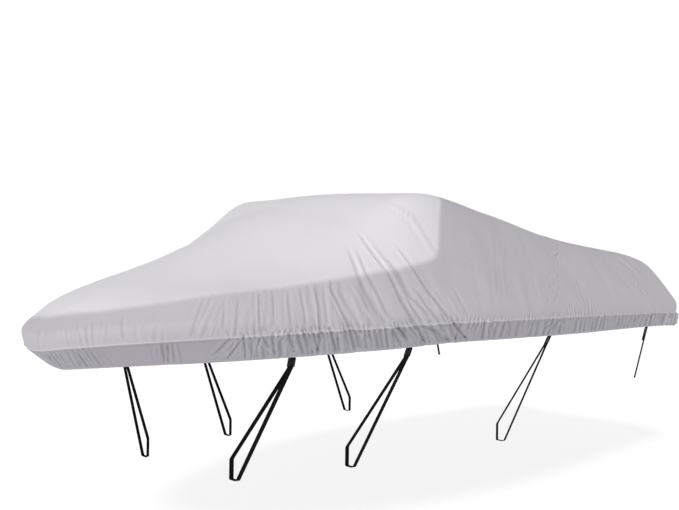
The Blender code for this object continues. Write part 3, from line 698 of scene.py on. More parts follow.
def slack(points):
    """The slow waves of cloth that isn't quite taut."""
    out = np.zeros(points.shape[:-1])
    for row in rows_of(SLACK, SLACK_COLUMNS):
        turn = points[..., 0] / row["along"] + np.abs(points[..., 1]) / row["across"]
        out += row["depth"] * np.sin(2 * math.pi * turn + row["start"])
    return out


def seam_distance(rib, seam, level):
    """How far aft of a cross seam this place lies, in metres."""
    return rim_run(rib) - rim_run(seam_rib(seam, np.maximum(level, SEAM)))


def painted_light_share(points, rib, level, side):
    """How far each point lies inside the top's painted light: 0 outside its soft edge, 1 inside it."""
    rows = PAINTED_LIGHT_EDGE
    if side == STARBOARD:
        bow = PAINTED_LIGHT_EDGE_STARBOARD_BOW
        rows = bow + tuple(row for row in rows if row[0] > bow[-1][0])
    ribs, levels = zip(*rows)
    edge_rib = np.linspace(0, ribs[-1], PAINTED_LIGHT_EDGE_POINTS)
    edge = smooth_point(edge_rib, np.interp(edge_rib, ribs, levels), side)
    distance, _ = distance_to_line(points, edge)
    inside = level > np.interp(rib, ribs, levels, right=RIDGE + 1)
    soft = np.interp(rib, *zip(*PAINTED_LIGHT_SOFT))
    return eased(np.where(inside, 1, -1) * distance / soft + 0.5)


def flat_by_tabs(points, side, reach):
    """1 on the cloth and 0 where a tab is sewn in, which holds it flat."""
    share = np.ones(points.shape[:-1])
    for row in rows_of(TIES, TIE_COLUMNS):
        if row["side"] == side:
            away = np.linalg.norm(points - smooth_point(row["rib"], HEM, side), axis=-1)
            share *= 1 - np.exp(-((away / reach) ** 4))
    return share


def stands_out(relief, run):
    """How far each point stands out from the cloth beside it, from -1 in a crease to 1 on a crest."""
    reach = max(1, round(CREST_REACH / abs(run[-1, 0] - run[0, 0]) * len(run)))
    padded = np.pad(relief, ((reach + 1, reach), (0, 0)), mode="edge")
    total = np.cumsum(padded, axis=0)
    span = 2 * reach + 1
    beside = (total[span:] - total[:-span]) / span
    return np.clip((relief - beside) / CREST_HIGH, -1, 1)


def cloth_points(rib, level, side, fold_scale):
    """The finished outer face at a grid of ribs and levels: its points, and each one's run and rise."""
    plain = smooth_point(rib, level, side)
    steps = np.linalg.norm(np.diff(plain, axis=1), axis=-1)
    rise = np.concatenate([np.zeros((len(plain), 1)), np.cumsum(steps, axis=1)], axis=1)
    seam_at = int(np.argmin(np.abs(level[0] - SEAM)))
    rise -= rise[:, seam_at:seam_at + 1]
    run = rim_run(rib)
    bow_seam, stern_seam = (seam_distance(rib, seam, level) for seam in (BOW_SEAM, STERN_SEAM))
    dice = np.random.default_rng(SEED + side)
    plane, up = fold_place(rib, level, side)
    loose = creases(plane, up, side)
    for row in rows_of(RUFFLES, RUFFLE_COLUMNS):
        loose += small_folds(plane, up, rise, row, dice)
    for away, puckers in ((bow_seam, BOW_SEAM_PUCKERS), (stern_seam, STERN_SEAM_PUCKERS)):
        for row in rows_of(puckers, RUFFLE_COLUMNS):
            loose += small_folds(rise, away, away, row, dice)
    loose += slack(plain) * eased(rise / SLACK_RISE) * eased((SLACK_TOP - level) / SLACK_TOP_FADE)
    end = np.minimum(run, RUN_TABLE[-1] - run)
    loose *= eased(end / CENTRE_FADE) * eased((RIDGE - level) / RIDGE_FADE)
    loose *= fold_scale * flat_by_tabs(plain, side, 0.5 * TAB_FLAT_REACH)
    folds = main_folds(plain, side) * flat_by_tabs(plain, side, TAB_FLAT_REACH)
    start, full = HEM_FLAT_LEVELS
    drawn_tight = 1 - HEM_FLAT * eased((start - level) / (start - full))
    relief = (folds + loose) * drawn_tight + sewn_relief(rise, bow_seam, stern_seam, level)
    points = plain + push_direction(rib, level, side) * relief[..., None]
    # Painted highlight on crests and painted shade in creases, then a painted highlight on the rim seam's
    # bead and a painted shadow just below it.
    worn = stands_out(relief, run)
    for share, at, width in RIM_PAINTED_LIGHT:
        worn += share * np.exp(-(((rise - at) / width) ** 2))
    return points, run, rise, painted_light_share(plain, rib, level, side), worn


def spaced(steps):
    """Levels from rows of (first, last, count)."""
    levels = [np.linspace(first, last, count, endpoint=False) for first, last, count in steps]
    return np.concatenate(levels + [[steps[-1][1]]])


def panel_edges(panel, level):
    """The ribs of a panel's fore and aft edges at this level."""
    edges = (np.zeros_like(level), seam_rib(BOW_SEAM, level), seam_rib(STERN_SEAM, level),
             np.full_like(level, LAST_RIB))
    return edges[PANELS.index(panel):][:2]


def panel_rows(panel, pitch):
    """Where a panel's rows stand, as shares of the way from its fore edge to its aft edge."""
    first, last = (float(edge) for edge in panel_edges(panel, np.array(SEAM)))
    count = round((rim_run(last) - rim_run(first)) / pitch)
    rib = rim_rib(np.linspace(rim_run(first), rim_run(last), count + 1))
    rib[0], rib[-1] = first, last
    return (rib - first) / (last - first)


def hem_turn(points, level, side, rib):
    """Rows of points for the hem, turned in round a small radius and up again inside the skirt."""
    out = push_direction(rib[:, 0], level[:, 0], side)
    down = points[:, 0] - points[:, 1]
    down /= np.linalg.norm(down, axis=-1, keepdims=True)
    turned = []
    for angle in np.linspace(math.pi, 0, HEM_TURNS, endpoint=False):
        inward = HEM_RADIUS * (1 - math.cos(angle))
        turned.append(points[:, 0] - out * inward + down * HEM_RADIUS * math.sin(angle))
    inside = [turned[0] - down * HEM_DEEP * share for share in (1.0, 0.5)]
    return np.stack(inside + turned, 1)


def cloth_grid(panel, steps, side, pitch, fold_scale):
    """The grid of one side of a panel: its points, runs, rises, its share of the top's painted light, and
    the painted shading of its folds.
    """
    level_row = spaced(steps)
    shares = panel_rows(panel, pitch)
    level = np.broadcast_to(level_row, (len(shares), len(level_row)))
    first, last = panel_edges(panel, level_row)
    rib = first + shares[:, None] * (last - first)
    points, run, rise, pale, worn = cloth_points(rib, level, side, fold_scale)
    grid = {"side": side, "points": points, "run": run, "rise": rise, "pale": pale, "worn": worn}
    if panel in AFT_SEAMS:
        grid["to_seam"] = seam_distance(rib, AFT_SEAMS[panel], level)
    if level_row[0] == HEM:
        turned = hem_turn(points, level, side, rib)
        extra = turned.shape[1]
        grid["points"] = np.concatenate([turned, points], axis=1)
        below = rise[:, :1] - np.linspace(HEM_DEEP, HEM_EDGE, extra)
        grid["rise"] = np.concatenate([below, rise], axis=1)
        for name in ("run", "pale", "worn"):
            grid[name] = np.concatenate([np.repeat(grid[name][:, :1], extra, 1), grid[name]], axis=1)
    return grid


def plain_grid(bm, columns, rows):
    """The vertices of a flat grid, row by row, still to be put in their places."""
    return bmesh.ops.create_grid(bm, x_segments=columns - 1, y_segments=rows - 1, size=0.5)["verts"]


def add_grid(bm, points, across, along, **shades):
    """A grid of quads through the points, with their places across and along it as its UV map."""
    uv = bm.loops.layers.uv.get("cloth") or bm.loops.layers.uv.new("cloth")
    for name in shades:
        if name not in bm.verts.layers.float:
            bm.verts.layers.float.new(name)
    made = plain_grid(bm, points.shape[1], points.shape[0])
    for vert, co in zip(made, points.reshape(-1, 3).tolist()):
        vert.co = co
    for name, values in shades.items():
        layer = bm.verts.layers.float[name]
        for vert, value in zip(made, values.ravel().tolist()):
            vert[layer] = value
    where = dict(zip(made, zip(across.ravel().tolist(), along.ravel().tolist())))
    for face in {face for vert in made for face in vert.link_faces}:
        for loop in face.loops:
            loop[uv].uv = where[loop.vert]


def add_object(name, data):
    """A new object of this data, in the scene."""
    obj = bpy.data.objects.new(name, data)
    bpy.context.collection.objects.link(obj)
    return obj


def mesh_object(name, bm, material):
    """The object of a finished mesh."""
    mesh = bpy.data.meshes.new(name)
    bm.to_mesh(mesh)
    bm.free()
    mesh.materials.append(material)
    return add_object(name, mesh)


def add_piece(name, bm, material):
    """The smooth object of a finished mesh, on the cover's one body."""
    obj = mesh_object(name, bm, material)
    obj.data.shade_smooth()
    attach(obj, "root")
    return obj


def stand_for(obj, node):
    """Show this piece in place of a solid."""
    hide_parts(node)


def laid_along(x_way, y_way, z_way, origin):
    """The matrix that lays the three axes along these ways, from this origin."""
    place = np.eye(4)
    place[:3] = np.stack([x_way, y_way, z_way, origin], axis=-1)
    return Matrix(place.tolist())


def cloth_piece(name, grids, material, outside):
    """A sheet from the grids of its sides, facing outside: up, or down for a skirt."""
    bm = bmesh.new()
    for grid in grids:
        shades = {name: grid[name] for name in ("pale", "worn")}
        add_grid(bm, grid["points"], grid["run"] * grid["side"], grid["rise"], **shades)
    bmesh.ops.remove_doubles(bm, verts=bm.verts, dist=CLOTH_MERGE)
    bmesh.ops.recalc_face_normals(bm, faces=bm.faces)
    if outside * sum(face.normal.z * face.calc_area() for face in bm.faces) < 0:
        bmesh.ops.reverse_faces(bm, faces=bm.faces)
    return add_piece(name, bm, material)


# Sewing


def marked_points(grid):
    """The points of a grid, each with its share of the top's painted light."""
    return np.concatenate([grid["points"], grid["pale"][..., None]], axis=-1)


def line_at(points, table, value):
    """Where a quantity of a grid reaches a value in each row: the points with how pale each is, and the
    way it grows there."""
    line, grows = [], []
    for row, values in zip(points, table):
        place = np.interp(value, values, np.arange(len(values)))
        low = min(int(place), len(values) - 2)
        step = row[low + 1] - row[low]
        line.append(row[low] + (place - low) * step)
        grows.append(step[:3] / np.linalg.norm(step[:3]))
    return np.array(line), np.array(grows)


def stitches(bm, points, across, turn):
    """A row of stitches through the points: a narrow thread that dips into the cloth between stitches. It
    lies on the side of the cloth that turn picks, 1 or -1."""
    place = path_run(points[:, :3])
    count = max(2, int(place[-1] / STITCH_PITCH) * STITCH_RINGS)
    at = np.linspace(0, place[-1], count + 1)
    marked, across = (np.stack([np.interp(at, place, part) for part in values.T], -1)
                      for values in (points, across))
    line, pale = marked[:, :3], marked[:, 3:]
    way = np.gradient(line, axis=0)
    way /= np.linalg.norm(way, axis=-1, keepdims=True)
    across -= way * (across * way).sum(-1, keepdims=True)
    across /= np.linalg.norm(across, axis=-1, keepdims=True)
    out = np.cross(way, across) * turn
    wave = STITCH_HIGH * np.cos(2 * math.pi * at / STITCH_PITCH)[:, None]
    crest = line + out * (wave + STITCH_CREST * STITCH_WIDE)
    sunk = line + out * (wave - STITCH_SUNK * STITCH_WIDE)
    half = across * STITCH_WIDE / 2
    over = np.tile(np.array([0, 0.5, 1]) * STITCH_WIDE, (len(at), 1))
    add_grid(bm, np.stack([sunk - half, crest, sunk + half], 1), over, np.tile(at[:, None], 3),
             pale=np.tile(pale, 3))


# Webbing and sliders


class TieFrame:
    """The directions at one tie-down: along the hem, down its own way, and inwards."""

    def __init__(self, row):
        rib, side = np.array(row["rib"]), row["side"]
        hem, seam = (smooth_point(rib, level, side) for level in (HEM, SEAM))
        outward = face_normal(rib, np.array(HEM), side, False)
        run = smooth_point(rib + TIE_STEP, HEM, side) - smooth_point(rib - TIE_STEP, HEM, side)
        self.side = side
        self.along = run / np.linalg.norm(run)
        self.origin = hem - outward * (CLOTH_THICK + TAB_CLEAR + WEBBING_THICK / 2)
        self.skirt_down = (hem - seam) / np.linalg.norm(hem - seam)
        low = row["foot_top"] - LOOP_HIGH if row["looped"] else row["foot_top"]
        self.foot = np.array((hem[0], side * row["foot_out"], low - CROWN[2]))
        down = self.foot - self.origin
        down -= self.along * (down @ self.along)
        self.down = down / np.linalg.norm(down)
        self.inward = -outward
        self.inward -= self.down * (self.inward @ self.down)
        self.inward -= self.along * (self.inward @ self.along)
        self.inward /= np.linalg.norm(self.inward)

    def at(self, down, inward):
        """The point this far down from the hem and this far in."""
        return self.origin + self.down * down + self.inward * inward


def turn_round_bar(bar, way):
    """Points (down, in) of webbing that turns round a bar of the slider: under it where way is 1, over
    it where way is -1."""
    clear = WEBBING_THICK / 2 + BAR_CLEAR
    half_high, half_thick = BUCKLE_BAR / 2, BUCKLE_THICK / 2
    slant = clear * math.sqrt(0.5)
    outer = [(-half_high - clear, -half_thick - clear), (half_high, -half_thick - clear),
             (half_high + slant, -half_thick - slant), (half_high + clear, -half_thick)]
    inner = [(down, -inward) for down, inward in reversed(outer)]
    return [(bar + way * down, BUCKLE_IN + inward) for down, inward in outer + inner]


def drawn_round(points, most, steps=4):
    """The points with each corner but the ends drawn round, by as much as its sides allow."""
    path = [points[0]]
    for before, corner, after in zip(points[:-2], points[1:-1], points[2:]):
        sides = [(other - corner, np.linalg.norm(other - corner)) for other in (before, after)]
        cut = min(most, *(CORNER_SHARE * length for _, length in sides))
        start, end = (corner + side * cut / length for side, length in sides)
        for t in np.linspace(0, 1, steps + 1):
            path.append((1 - t) ** 2 * start + 2 * t * (1 - t) * corner + t * t * end)
    return path + [points[-1]]


def woven_piece(name, path, along, material, closed=False):
    """Webbing with rounded edges along a path, its width as near along as it can lie."""
    path = np.array(path)
    if closed:
        path = np.concatenate([path, path[:1]])
    step = np.diff(path, axis=0)
    step /= np.linalg.norm(step, axis=1, keepdims=True)
    ends = (step[-1:], step[:1]) if closed else (step[:1], step[-1:])
    way = np.concatenate([ends[0], step]) + np.concatenate([step, ends[1]])
    way /= np.linalg.norm(way, axis=1, keepdims=True)
    width = along - way * (way @ along)[:, None]
    width /= np.linalg.norm(width, axis=1, keepdims=True)
    face = np.cross(width, way)
    section = [*WEBBING_SECTION, *((-u, v) for u, v in reversed(WEBBING_SECTION[:-1]))]
    section = np.array(section) * (WEBBING_WIDTH / 2, WEBBING_THICK / 2)
    points = path[:, None] + section[:, :1] * width[:, None] + section[:, 1:] * face[:, None]
    shape = points.shape[:2]
    bm = bmesh.new()
    add_grid(bm, points, np.broadcast_to(path_run(section), shape),
             np.broadcast_to(path_run(path)[:, None], shape))
    bmesh.ops.remove_doubles(bm, verts=bm.verts, dist=WEBBING_MERGE)
    if not closed:
        bmesh.ops.holes_fill(bm, edges=[edge for edge in bm.edges if edge.is_boundary], sides=0)
    bmesh.ops.recalc_face_normals(bm, faces=bm.faces)
    return add_piece(name, bm, material)


def tab_path(tie):
    """The middle line of a tab: down inside the hem, round the slider's upper bar and up again."""
    up = -tie.skirt_down
    apart = tie.inward * (WEBBING_THICK + TAB_CLEAR)
    path = [tie.origin + up * TAB_INSIDE, tie.origin + up * TAB_INSIDE / 2, tie.origin]
    path += [tie.at(*point) for point in turn_round_bar(TAB_BELOW + BUCKLE_BAR / 2, 1)]
    path.append(tie.origin + up * TAB_INSIDE * TAB_BACK[0] + apart * TAB_LOOSE)
    path.append(tie.origin + up * TAB_INSIDE * TAB_BACK[1] + apart)
    return drawn_round(path, TURN_ROUND)


def strap_path(tie, looped):
    """The middle line of a strap: a loop with a square foot, or one run from its foot to a short tail."""
    turn = [tie.at(*point) for point in turn_round_bar(TAB_BELOW + BUCKLE_LONG - BUCKLE_BAR / 2, -1)]
    if not looped:
        return drawn_round([tie.foot, *turn, turn[-1] + tie.down * TAIL_LONG], TURN_ROUND)
    under = tie.foot - np.array((0, tie.side * LOOP_WIDE, 0))
    behind = under + np.array((0, 0, LOOP_HIGH))
    middle = (turn[-1] + behind) / 2
    path = [middle, behind, under, tie.foot, *turn]
    return drawn_round(path + [middle + (turn[-1] - middle) * LOOP_JOIN], LOOP_CORNER)[:-1]


def slider_piece(name, tie, material):
    """A flat slider with a slot at each end and ribs across its middle, its edges all rounded."""
    bm = bmesh.new()
    half_wide, half_long = BUCKLE_WIDE / 2, BUCKLE_LONG / 2
    slot_far, slot_near = half_long - BUCKLE_BAR, half_long - BUCKLE_BAR - SLOT_HIGH
    across = [-half_wide, -half_wide + BUCKLE_CORNER, half_wide - BUCKLE_CORNER, half_wide]
    down = [-half_long, -slot_far, -slot_near, slot_near, slot_far, half_long]
    for number, vert in enumerate(plain_grid(bm, len(across), len(down))):
        vert.co = (across[number % len(across)], down[number // len(across)], -BUCKLE_THICK / 2)
    slots = [face for face in bm.faces if abs(face.calc_center_median().x) < 0.5 * half_wide
             and slot_near < abs(face.calc_center_median().y) < slot_far]
    bmesh.ops.delete(bm, geom=slots, context="FACES")
    corners = [vert for vert in bm.verts if len(vert.link_faces) == 1]
    bmesh.ops.bevel(bm, geom=corners, offset=BUCKLE_CORNER, segments=4, affect="VERTICES", profile=0.5)
    made = bmesh.ops.extrude_face_region(bm, geom=bm.faces[:], use_keep_orig=True)["geom"]
    risen = [part for part in made if isinstance(part, bmesh.types.BMVert)]
    bmesh.ops.translate(bm, vec=(0, 0, BUCKLE_THICK), verts=risen)
    bmesh.ops.recalc_face_normals(bm, faces=bm.faces)
    square = [edge for edge in bm.edges
              if len(edge.link_faces) == 2 and edge.calc_face_angle(0) > SLIDER_SQUARE]
    bmesh.ops.bevel(bm, geom=square, offset=SLIDER_EDGE, segments=3, affect="EDGES", profile=0.5)
    for place in np.linspace(-1, 1, SLIDER_RIBS) * (slot_near - SLIDER_RIB_INSET):
        rib = bmesh.ops.create_cube(bm, size=1.0)["verts"]
        bmesh.ops.scale(bm, verts=rib, vec=SLIDER_RIB_SIZE)
        bmesh.ops.translate(bm, verts=rib, vec=(0, place, 0))
        edges = list({edge for vert in rib for edge in vert.link_edges})
        bmesh.ops.bevel(bm, geom=edges, offset=SLIDER_RIB_EDGE, segments=2, affect="EDGES", profile=0.5)
    place = laid_along(np.cross(tie.down, tie.inward), tie.down, tie.inward,
                       tie.at(TAB_BELOW + BUCKLE_LONG / 2, BUCKLE_IN))
    bmesh.ops.transform(bm, matrix=place, verts=bm.verts)
    obj = add_piece(name, bm, material)
    obj.data.set_sharp_from_angle(angle=math.radians(SLIDER_SHARP_DEGREES))
    return obj


# Shader maths


class Signal:
    """An output of a shader node, on which sums and products add Math nodes."""

    def __init__(self, tree, socket=None):
        self.tree = tree
        self.socket = socket

    def node(self, kind, settings, sockets, output=0):
        """Any other node, from its type, its settings, and the values or signals of its sockets."""
        made = self.tree.nodes.new(kind)
        for name, value in settings.items():
            setattr(made, name, value)
        for name, value in sockets.items():
            if isinstance(value, Signal):
                self.tree.links.new(value.socket, made.inputs[name])
            else:
                made.inputs[name].default_value = value
        return Signal(self.tree, made.outputs[output])

    def math(self, operation, first, second):
        return self.node("ShaderNodeMath", {"operation": operation}, {0: first, 1: second})

    def __add__(self, other):
        return self.math("ADD", self, other)

    __radd__ = __add__

    def __sub__(self, other):
        return self.math("SUBTRACT", self, other)

    def __rsub__(self, other):
        return self.math("SUBTRACT", other, self)

    def __mul__(self, other):
        return self.math("MULTIPLY", self, other)

    __rmul__ = __mul__

    def sine(self):
        return self.math("SINE", self, 0.0)


def start_material(name, **fixed):
    """A material with these numbers set on its shader, and the signal to build its nodes from."""
    material = bpy.data.materials.new(name)
    material.use_nodes = True
    shader = material.node_tree.nodes["Principled BSDF"]
    for socket, value in fixed.items():
        shader.inputs[socket.replace("_", " ")].default_value = value
    return material, shader, Signal(material.node_tree)


def feed(start, shader, **signals):
    """Link these signals to the shader's sockets."""
    for socket, signal in signals.items():
        start.tree.links.new(signal.socket, shader.inputs[socket.replace("_", " ")])


def shaded(colour, share=1.0):
    """A colour with its alpha, made this much lighter."""
    return [min(1.0, value * share) for value in colour] + [1.0]


def mixed(start, share, first, second):
    """A colour between two, by a signal from 0 to 1."""
    sockets = {"Factor": share, "A": first, "B": second}
    return start.node("ShaderNodeMix", {"data_type": "RGBA"}, sockets, 2)


def marked_by(start, name):
    """What a sheet's vertices say under this name."""
    return start.node("ShaderNodeAttribute", {"attribute_name": name}, {}, "Fac")


def across_and_along(start):
    """The two places on a sheet or a web, in metres."""
    place = start.node("ShaderNodeUVMap", {"uv_map": "cloth"}, {})
    return [start.node("ShaderNodeSeparateXYZ", {}, {"Vector": place}, k) for k in (0, 1)]


def waves(place, pitch):
    """Even waves, one for each pitch, from -1 to 1."""
    return (place * (2 * math.pi / pitch)).sine()


def noise(start, scale, detail, **more):
    """Soft noise that stays in its place on the object."""
    place = start.node("ShaderNodeTexCoord", {}, {}, "Object")
    sockets = {"Vector": place, "Scale": scale, "Detail": detail, **more}
    return start.node("ShaderNodeTexNoise", {}, sockets)


def bumped(start, height, strength=0.6):
    """The normal of a surface whose fine relief has this height, in metres."""
    return start.node("ShaderNodeBump", {}, {"Strength": strength, "Distance": 1.0, "Height": height})


# The cloth's finish: its weave, the crinkles in it, fewer where the top's light is painted, its rosier
# tint, and how unevenly it has weathered. Crests get a little painted highlight and creases a little
# painted shade.
WEAVE_PITCH = 0.0011
WEAVE_HIGH = 0.00003
CRINKLE_SIZE = 26.0
CRINKLE_HIGH = 0.0024
CRINKLE_LESS_WHERE_PALE = 0.0018
ROSIER = (1.025, 0.98, 1.0)
UNEVEN = 0.16
EVENER_WHERE_PALE = 0.7
CREST_PAINTED_HIGHLIGHT = 0.05
CREASE_PAINTED_SHADE = 0.17
# The twist of the thread, how much paler it is than the cloth, and the ribs and the warp of the webbing.
THREAD_TWIST = 0.0009
THREAD_PALER = 1.08
RIB_PITCH = 0.0017
WARP_PITCH = 0.0024


def cloth_material(name, colour, painted_light_colour):
    """Coated plain weave: a fine weave, soft crinkles, and a shade that is never quite even."""
    material, shader, start = start_material(name, Specular_IOR_Level=0.28, Sheen_Weight=0.05)
    across, along = across_and_along(start)
    pale, worn = (marked_by(start, mark) for mark in ("pale", "worn"))
    broad, patchy, tint = noise(start, 2.6, 3.0), noise(start, 11.0, 4.0), noise(start, 1.3, 1.0)
    rosier = shaded([value * share for value, share in zip(colour, ROSIER)])
    base = mixed(start, tint * 2.4 - 1.0, shaded(colour), rosier)
    # Painted light: inside the top's mask the cloth takes the paler colour.
    base = mixed(start, pale, base, shaded(painted_light_colour))
    uneven = (broad * 0.6 + patchy * 0.4 - 0.5) * (1.0 - pale * EVENER_WHERE_PALE) * UNEVEN
    # Painted highlight on crests and painted shade in creases, from the relief mark of the sheet.
    crest, crease = (worn.math(kind, worn, 0.0) for kind in ("MAXIMUM", "MINIMUM"))
    tone_and_painted_shading = uneven + (crest * CREST_PAINTED_HIGHLIGHT + crease * CREASE_PAINTED_SHADE) + 1.0
    base = start.node("ShaderNodeVectorMath", {"operation": "MULTIPLY"}, {0: base, 1: tone_and_painted_shading})
    weave = waves(across, WEAVE_PITCH) * waves(along, WEAVE_PITCH)
    crinkle = noise(start, CRINKLE_SIZE, 5.0, Roughness=0.55)
    height = crinkle * (CRINKLE_HIGH - pale * CRINKLE_LESS_WHERE_PALE) + weave * WEAVE_HIGH
    feed(start, shader, Base_Color=base, Roughness=patchy * 0.18 + 0.66, Normal=bumped(start, height))
    return material


def thread_material(name, colour, painted_light_colour):
    """Twisted polyester thread in the cloth's colour, painted paler where the cloth's top light is painted.
    """
    material, shader, start = start_material(name, Specular_IOR_Level=0.35)
    across, along = across_and_along(start)
    twist = waves(across + along, THREAD_TWIST)
    base = mixed(start, twist * 0.5 + 0.5, shaded(colour, 0.94), shaded(colour, 1.04))
    # Painted light: the thread takes the top's paler colour where the cloth does.
    base = mixed(start, marked_by(start, "pale"), base, shaded(painted_light_colour))
    feed(start, shader, Base_Color=base, Roughness=twist * 0.05 + 0.6)
    return material


def webbing_material():
    """Black ribbed webbing."""
    material, shader, start = start_material("black_webbing", Specular_IOR_Level=0.06)
    across, along = across_and_along(start)
    fuzz = noise(start, 260.0, 2.0)
    weave = waves(along, RIB_PITCH) * waves(across, WARP_PITCH) * 0.5 + 0.5
    base = mixed(start, weave * 0.5 + fuzz * 0.5, (0.002, 0.002, 0.0025, 1.0), (0.007, 0.007, 0.008, 1.0))
    bump = bumped(start, weave * 0.00025 + fuzz * 0.0002)
    feed(start, shader, Base_Color=base, Roughness=fuzz * 0.2 + 0.68, Normal=bump)
    return material


def plastic_material():
    """Black moulded plastic with a fine grain."""
    material, shader, start = start_material("black_plastic", Specular_IOR_Level=0.15)
    grain = noise(start, 420.0, 2.0)
    base = mixed(start, grain, (0.003, 0.003, 0.0035, 1.0), (0.006, 0.006, 0.007, 1.0))
    bump = bumped(start, grain * 0.0001, 0.3)
    feed(start, shader, Base_Color=base, Roughness=grain * 0.12 + 0.34, Normal=bump)
    return material


# The pieces, each group made by one operator


class COVER_OT_cloth(bpy.types.Operator):
    """Build the three panels of top cloth, the four strips of skirt and the stitches that join them"""

    bl_idname = "cover.cloth"
    bl_label = "Cloth and stitches"

    def execute(self, context):
        settings = context.scene.cover_settings
        for name, sewn, thread, slot in (self.top_cloth(settings), self.skirt(settings)):
            add_piece(name, sewn, thread)
        return {"FINISHED"}

    def top_cloth(self, settings):
        """Build the three panels, and return the stitches along the rim and both cross seams."""
        colour, pale = settings.cloth_colour, settings.painted_light_colour
        cloth = cloth_material("cover_cloth", colour, pale)
        thread = thread_material("top_thread", shaded(colour, THREAD_PALER)[:3], pale)
        sewn = bmesh.new()
        for panel in PANELS:
            grids = [cloth_grid(panel, CANOPY_STEPS, side, CANOPY_PITCH[panel], settings.fold_scale)
                     for side in SIDES]
            self.sheet("cloth_" + panel, "canopy_" + panel, grids, cloth, "cover_cloth", 1)
            for grid in grids:
                marked = marked_points(grid)
                stitches(sewn, *line_at(marked, grid["rise"], RIM_STITCH), -grid["side"])
                for place in LAP_STITCHES if panel in AFT_SEAMS else ():
                    lap = line_at(marked.swapaxes(0, 1), grid["to_seam"].T, place)
                    stitches(sewn, *lap, grid["side"])
        return "top_stitches", sewn, thread, "cover_cloth"

    def skirt(self, settings):
        """Build the four strips below the rim, and return the stitches of the hem."""
        # Painted shade: the skirt's cloth and thread take the darker skirt colour.
        colour = settings.painted_shade_skirt_colour
        cloth = cloth_material("skirt_cloth", colour, colour)
        thread = thread_material("skirt_thread", colour, colour)
        sewn = bmesh.new()
        hem = -1 - sum(count for _, _, count in SKIRT_STEPS)
        for node, panel, sides in SKIRT_STRIPS:
            grids = [cloth_grid(panel, SKIRT_STEPS, side, SKIRT_PITCH, settings.fold_scale)
                     for side in sides]
            self.sheet("cloth_" + node, node, grids, cloth, "skirt_cloth", -1)
            for grid in grids:
                up_hem = grid["rise"] - grid["rise"][:, hem, None]
                stitches(sewn, *line_at(marked_points(grid), up_hem, HEM_STITCH), -grid["side"])
        return "hem_stitches", sewn, thread, "skirt_cloth"

    def sheet(self, name, node, grids, material, slot, outside):
        """A sheet in place of its solid."""
        obj = cloth_piece(name, grids, material, outside)
        stand_for(obj, node)


class COVER_OT_ties(bpy.types.Operator):
    """Build the tabs, the sliders and the straps of the eight tie-downs"""

    bl_idname = "cover.ties"
    bl_label = "Tie-downs"

    def execute(self, context):
        webbing, plastic = webbing_material(), plastic_material()
        for row in rows_of(TIES, TIE_COLUMNS):
            tie = TieFrame(row)
            name, looped = row["name"], row["looped"]
            tab = woven_piece("web_tab_" + name, tab_path(tie), tie.along, webbing)
            stand_for(tab, "tab_" + name)
            stand_for(slider_piece("slider_" + name, tie, plastic), "buckle_" + name)
            strap = woven_piece("web_strap_" + name, strap_path(tie, looped), tie.along, webbing, looped)
            stand_for(strap, "strap_" + name)
        return {"FINISHED"}


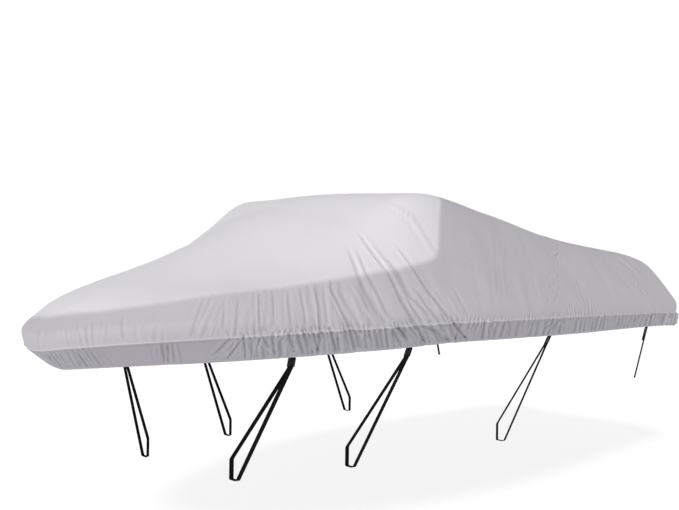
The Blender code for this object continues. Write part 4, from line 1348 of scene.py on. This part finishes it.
class COVER_OT_stage(bpy.types.Operator):
    """Set up the camera, the floor and the lights"""

    bl_idname = "cover.stage"
    bl_label = "Camera, floor and lights"

    def execute(self, context):
        settings = context.scene.stage_settings
        self.camera(context.scene)
        self.floor(settings.floor_below)
        self.lights(context.scene, settings)
        context.scene.view_settings.view_transform = "Standard"
        return {"FINISHED"}

    def camera(self, scene):
        """The camera, off the port bow."""
        camera = bpy.data.cameras.new("camera")
        camera.lens = CAMERA_LENS
        camera.sensor_width = CAMERA_SENSOR
        seat = add_object("camera", camera)
        back = [-value for value in CAMERA_AHEAD]
        seat.matrix_world = laid_along(CAMERA_RIGHT, CAMERA_UP, back, CAMERA_PLACE)
        scene.camera = seat

    def floor(self, below):
        """A pale floor under the cover."""
        pale, _, _ = start_material(
            "pale_floor", Base_Color=(FLOOR_GREY, FLOOR_GREY, FLOOR_GREY, 1.0), Roughness=0.9,
            Emission_Color=WHITE, Emission_Strength=FLOOR_GLOW)
        bm = bmesh.new()
        bmesh.ops.create_grid(bm, x_segments=1, y_segments=1, size=FLOOR_SIZE)
        bmesh.ops.translate(bm, verts=bm.verts, vec=(0.0, 0.0, -below))
        mesh_object("floor", bm, pale)

    def lights(self, scene, settings):
        """A broad key light, and a fill from all round that the camera sees as white."""
        sun = bpy.data.lights.new("key", "SUN")
        sun.energy = settings.key_strength
        sun.angle = math.radians(KEY_DEGREES)
        key = add_object("key", sun)
        key.rotation_euler = Vector(KEY_WAY).to_track_quat("-Z", "Y").to_euler()

        world = bpy.data.worlds.new("studio")
        scene.world = world
        world.use_nodes = True
        background = world.node_tree.nodes["Background"]
        background.inputs["Color"].default_value = WHITE
        start = Signal(world.node_tree)
        seen = start.node("ShaderNodeLightPath", {}, {}, "Is Camera Ray")
        fill = settings.fill_strength
        feed(start, background, Strength=start.node(
            "ShaderNodeMath", {"operation": "MULTIPLY_ADD"}, {0: seen, 1: 1.0 - fill, 2: fill}))


class COVER_PT_parts(bpy.types.Panel):
    """Shows the settings and the operators that build the pieces, in the sidebar"""

    bl_idname = "COVER_PT_parts"
    bl_label = "Boat cover"
    bl_space_type = "VIEW_3D"
    bl_region_type = "UI"
    bl_category = "Cover"

    def draw(self, context):
        scene = context.scene
        for settings in (scene.cover_settings, scene.stage_settings):
            for name in settings.__annotations__:
                self.layout.prop(settings, name)
        for operator in OPERATORS:
            self.layout.operator(operator.bl_idname)


OPERATORS = (COVER_OT_stage, COVER_OT_cloth, COVER_OT_ties)
CLASSES = (CoverSettings, StageSettings, *OPERATORS, COVER_PT_parts)


def register():
    for made in CLASSES:
        bpy.utils.register_class(made)
    bpy.types.Scene.cover_settings = bpy.props.PointerProperty(type=CoverSettings)
    bpy.types.Scene.stage_settings = bpy.props.PointerProperty(type=StageSettings)


def unregister():
    del bpy.types.Scene.stage_settings
    del bpy.types.Scene.cover_settings
    for made in reversed(CLASSES):
        bpy.utils.unregister_class(made)


def main():
    register()
    bpy.ops.cover.stage()
    bpy.ops.cover.cloth()
    bpy.ops.cover.ties()


if __name__ == "__main__":
    main()
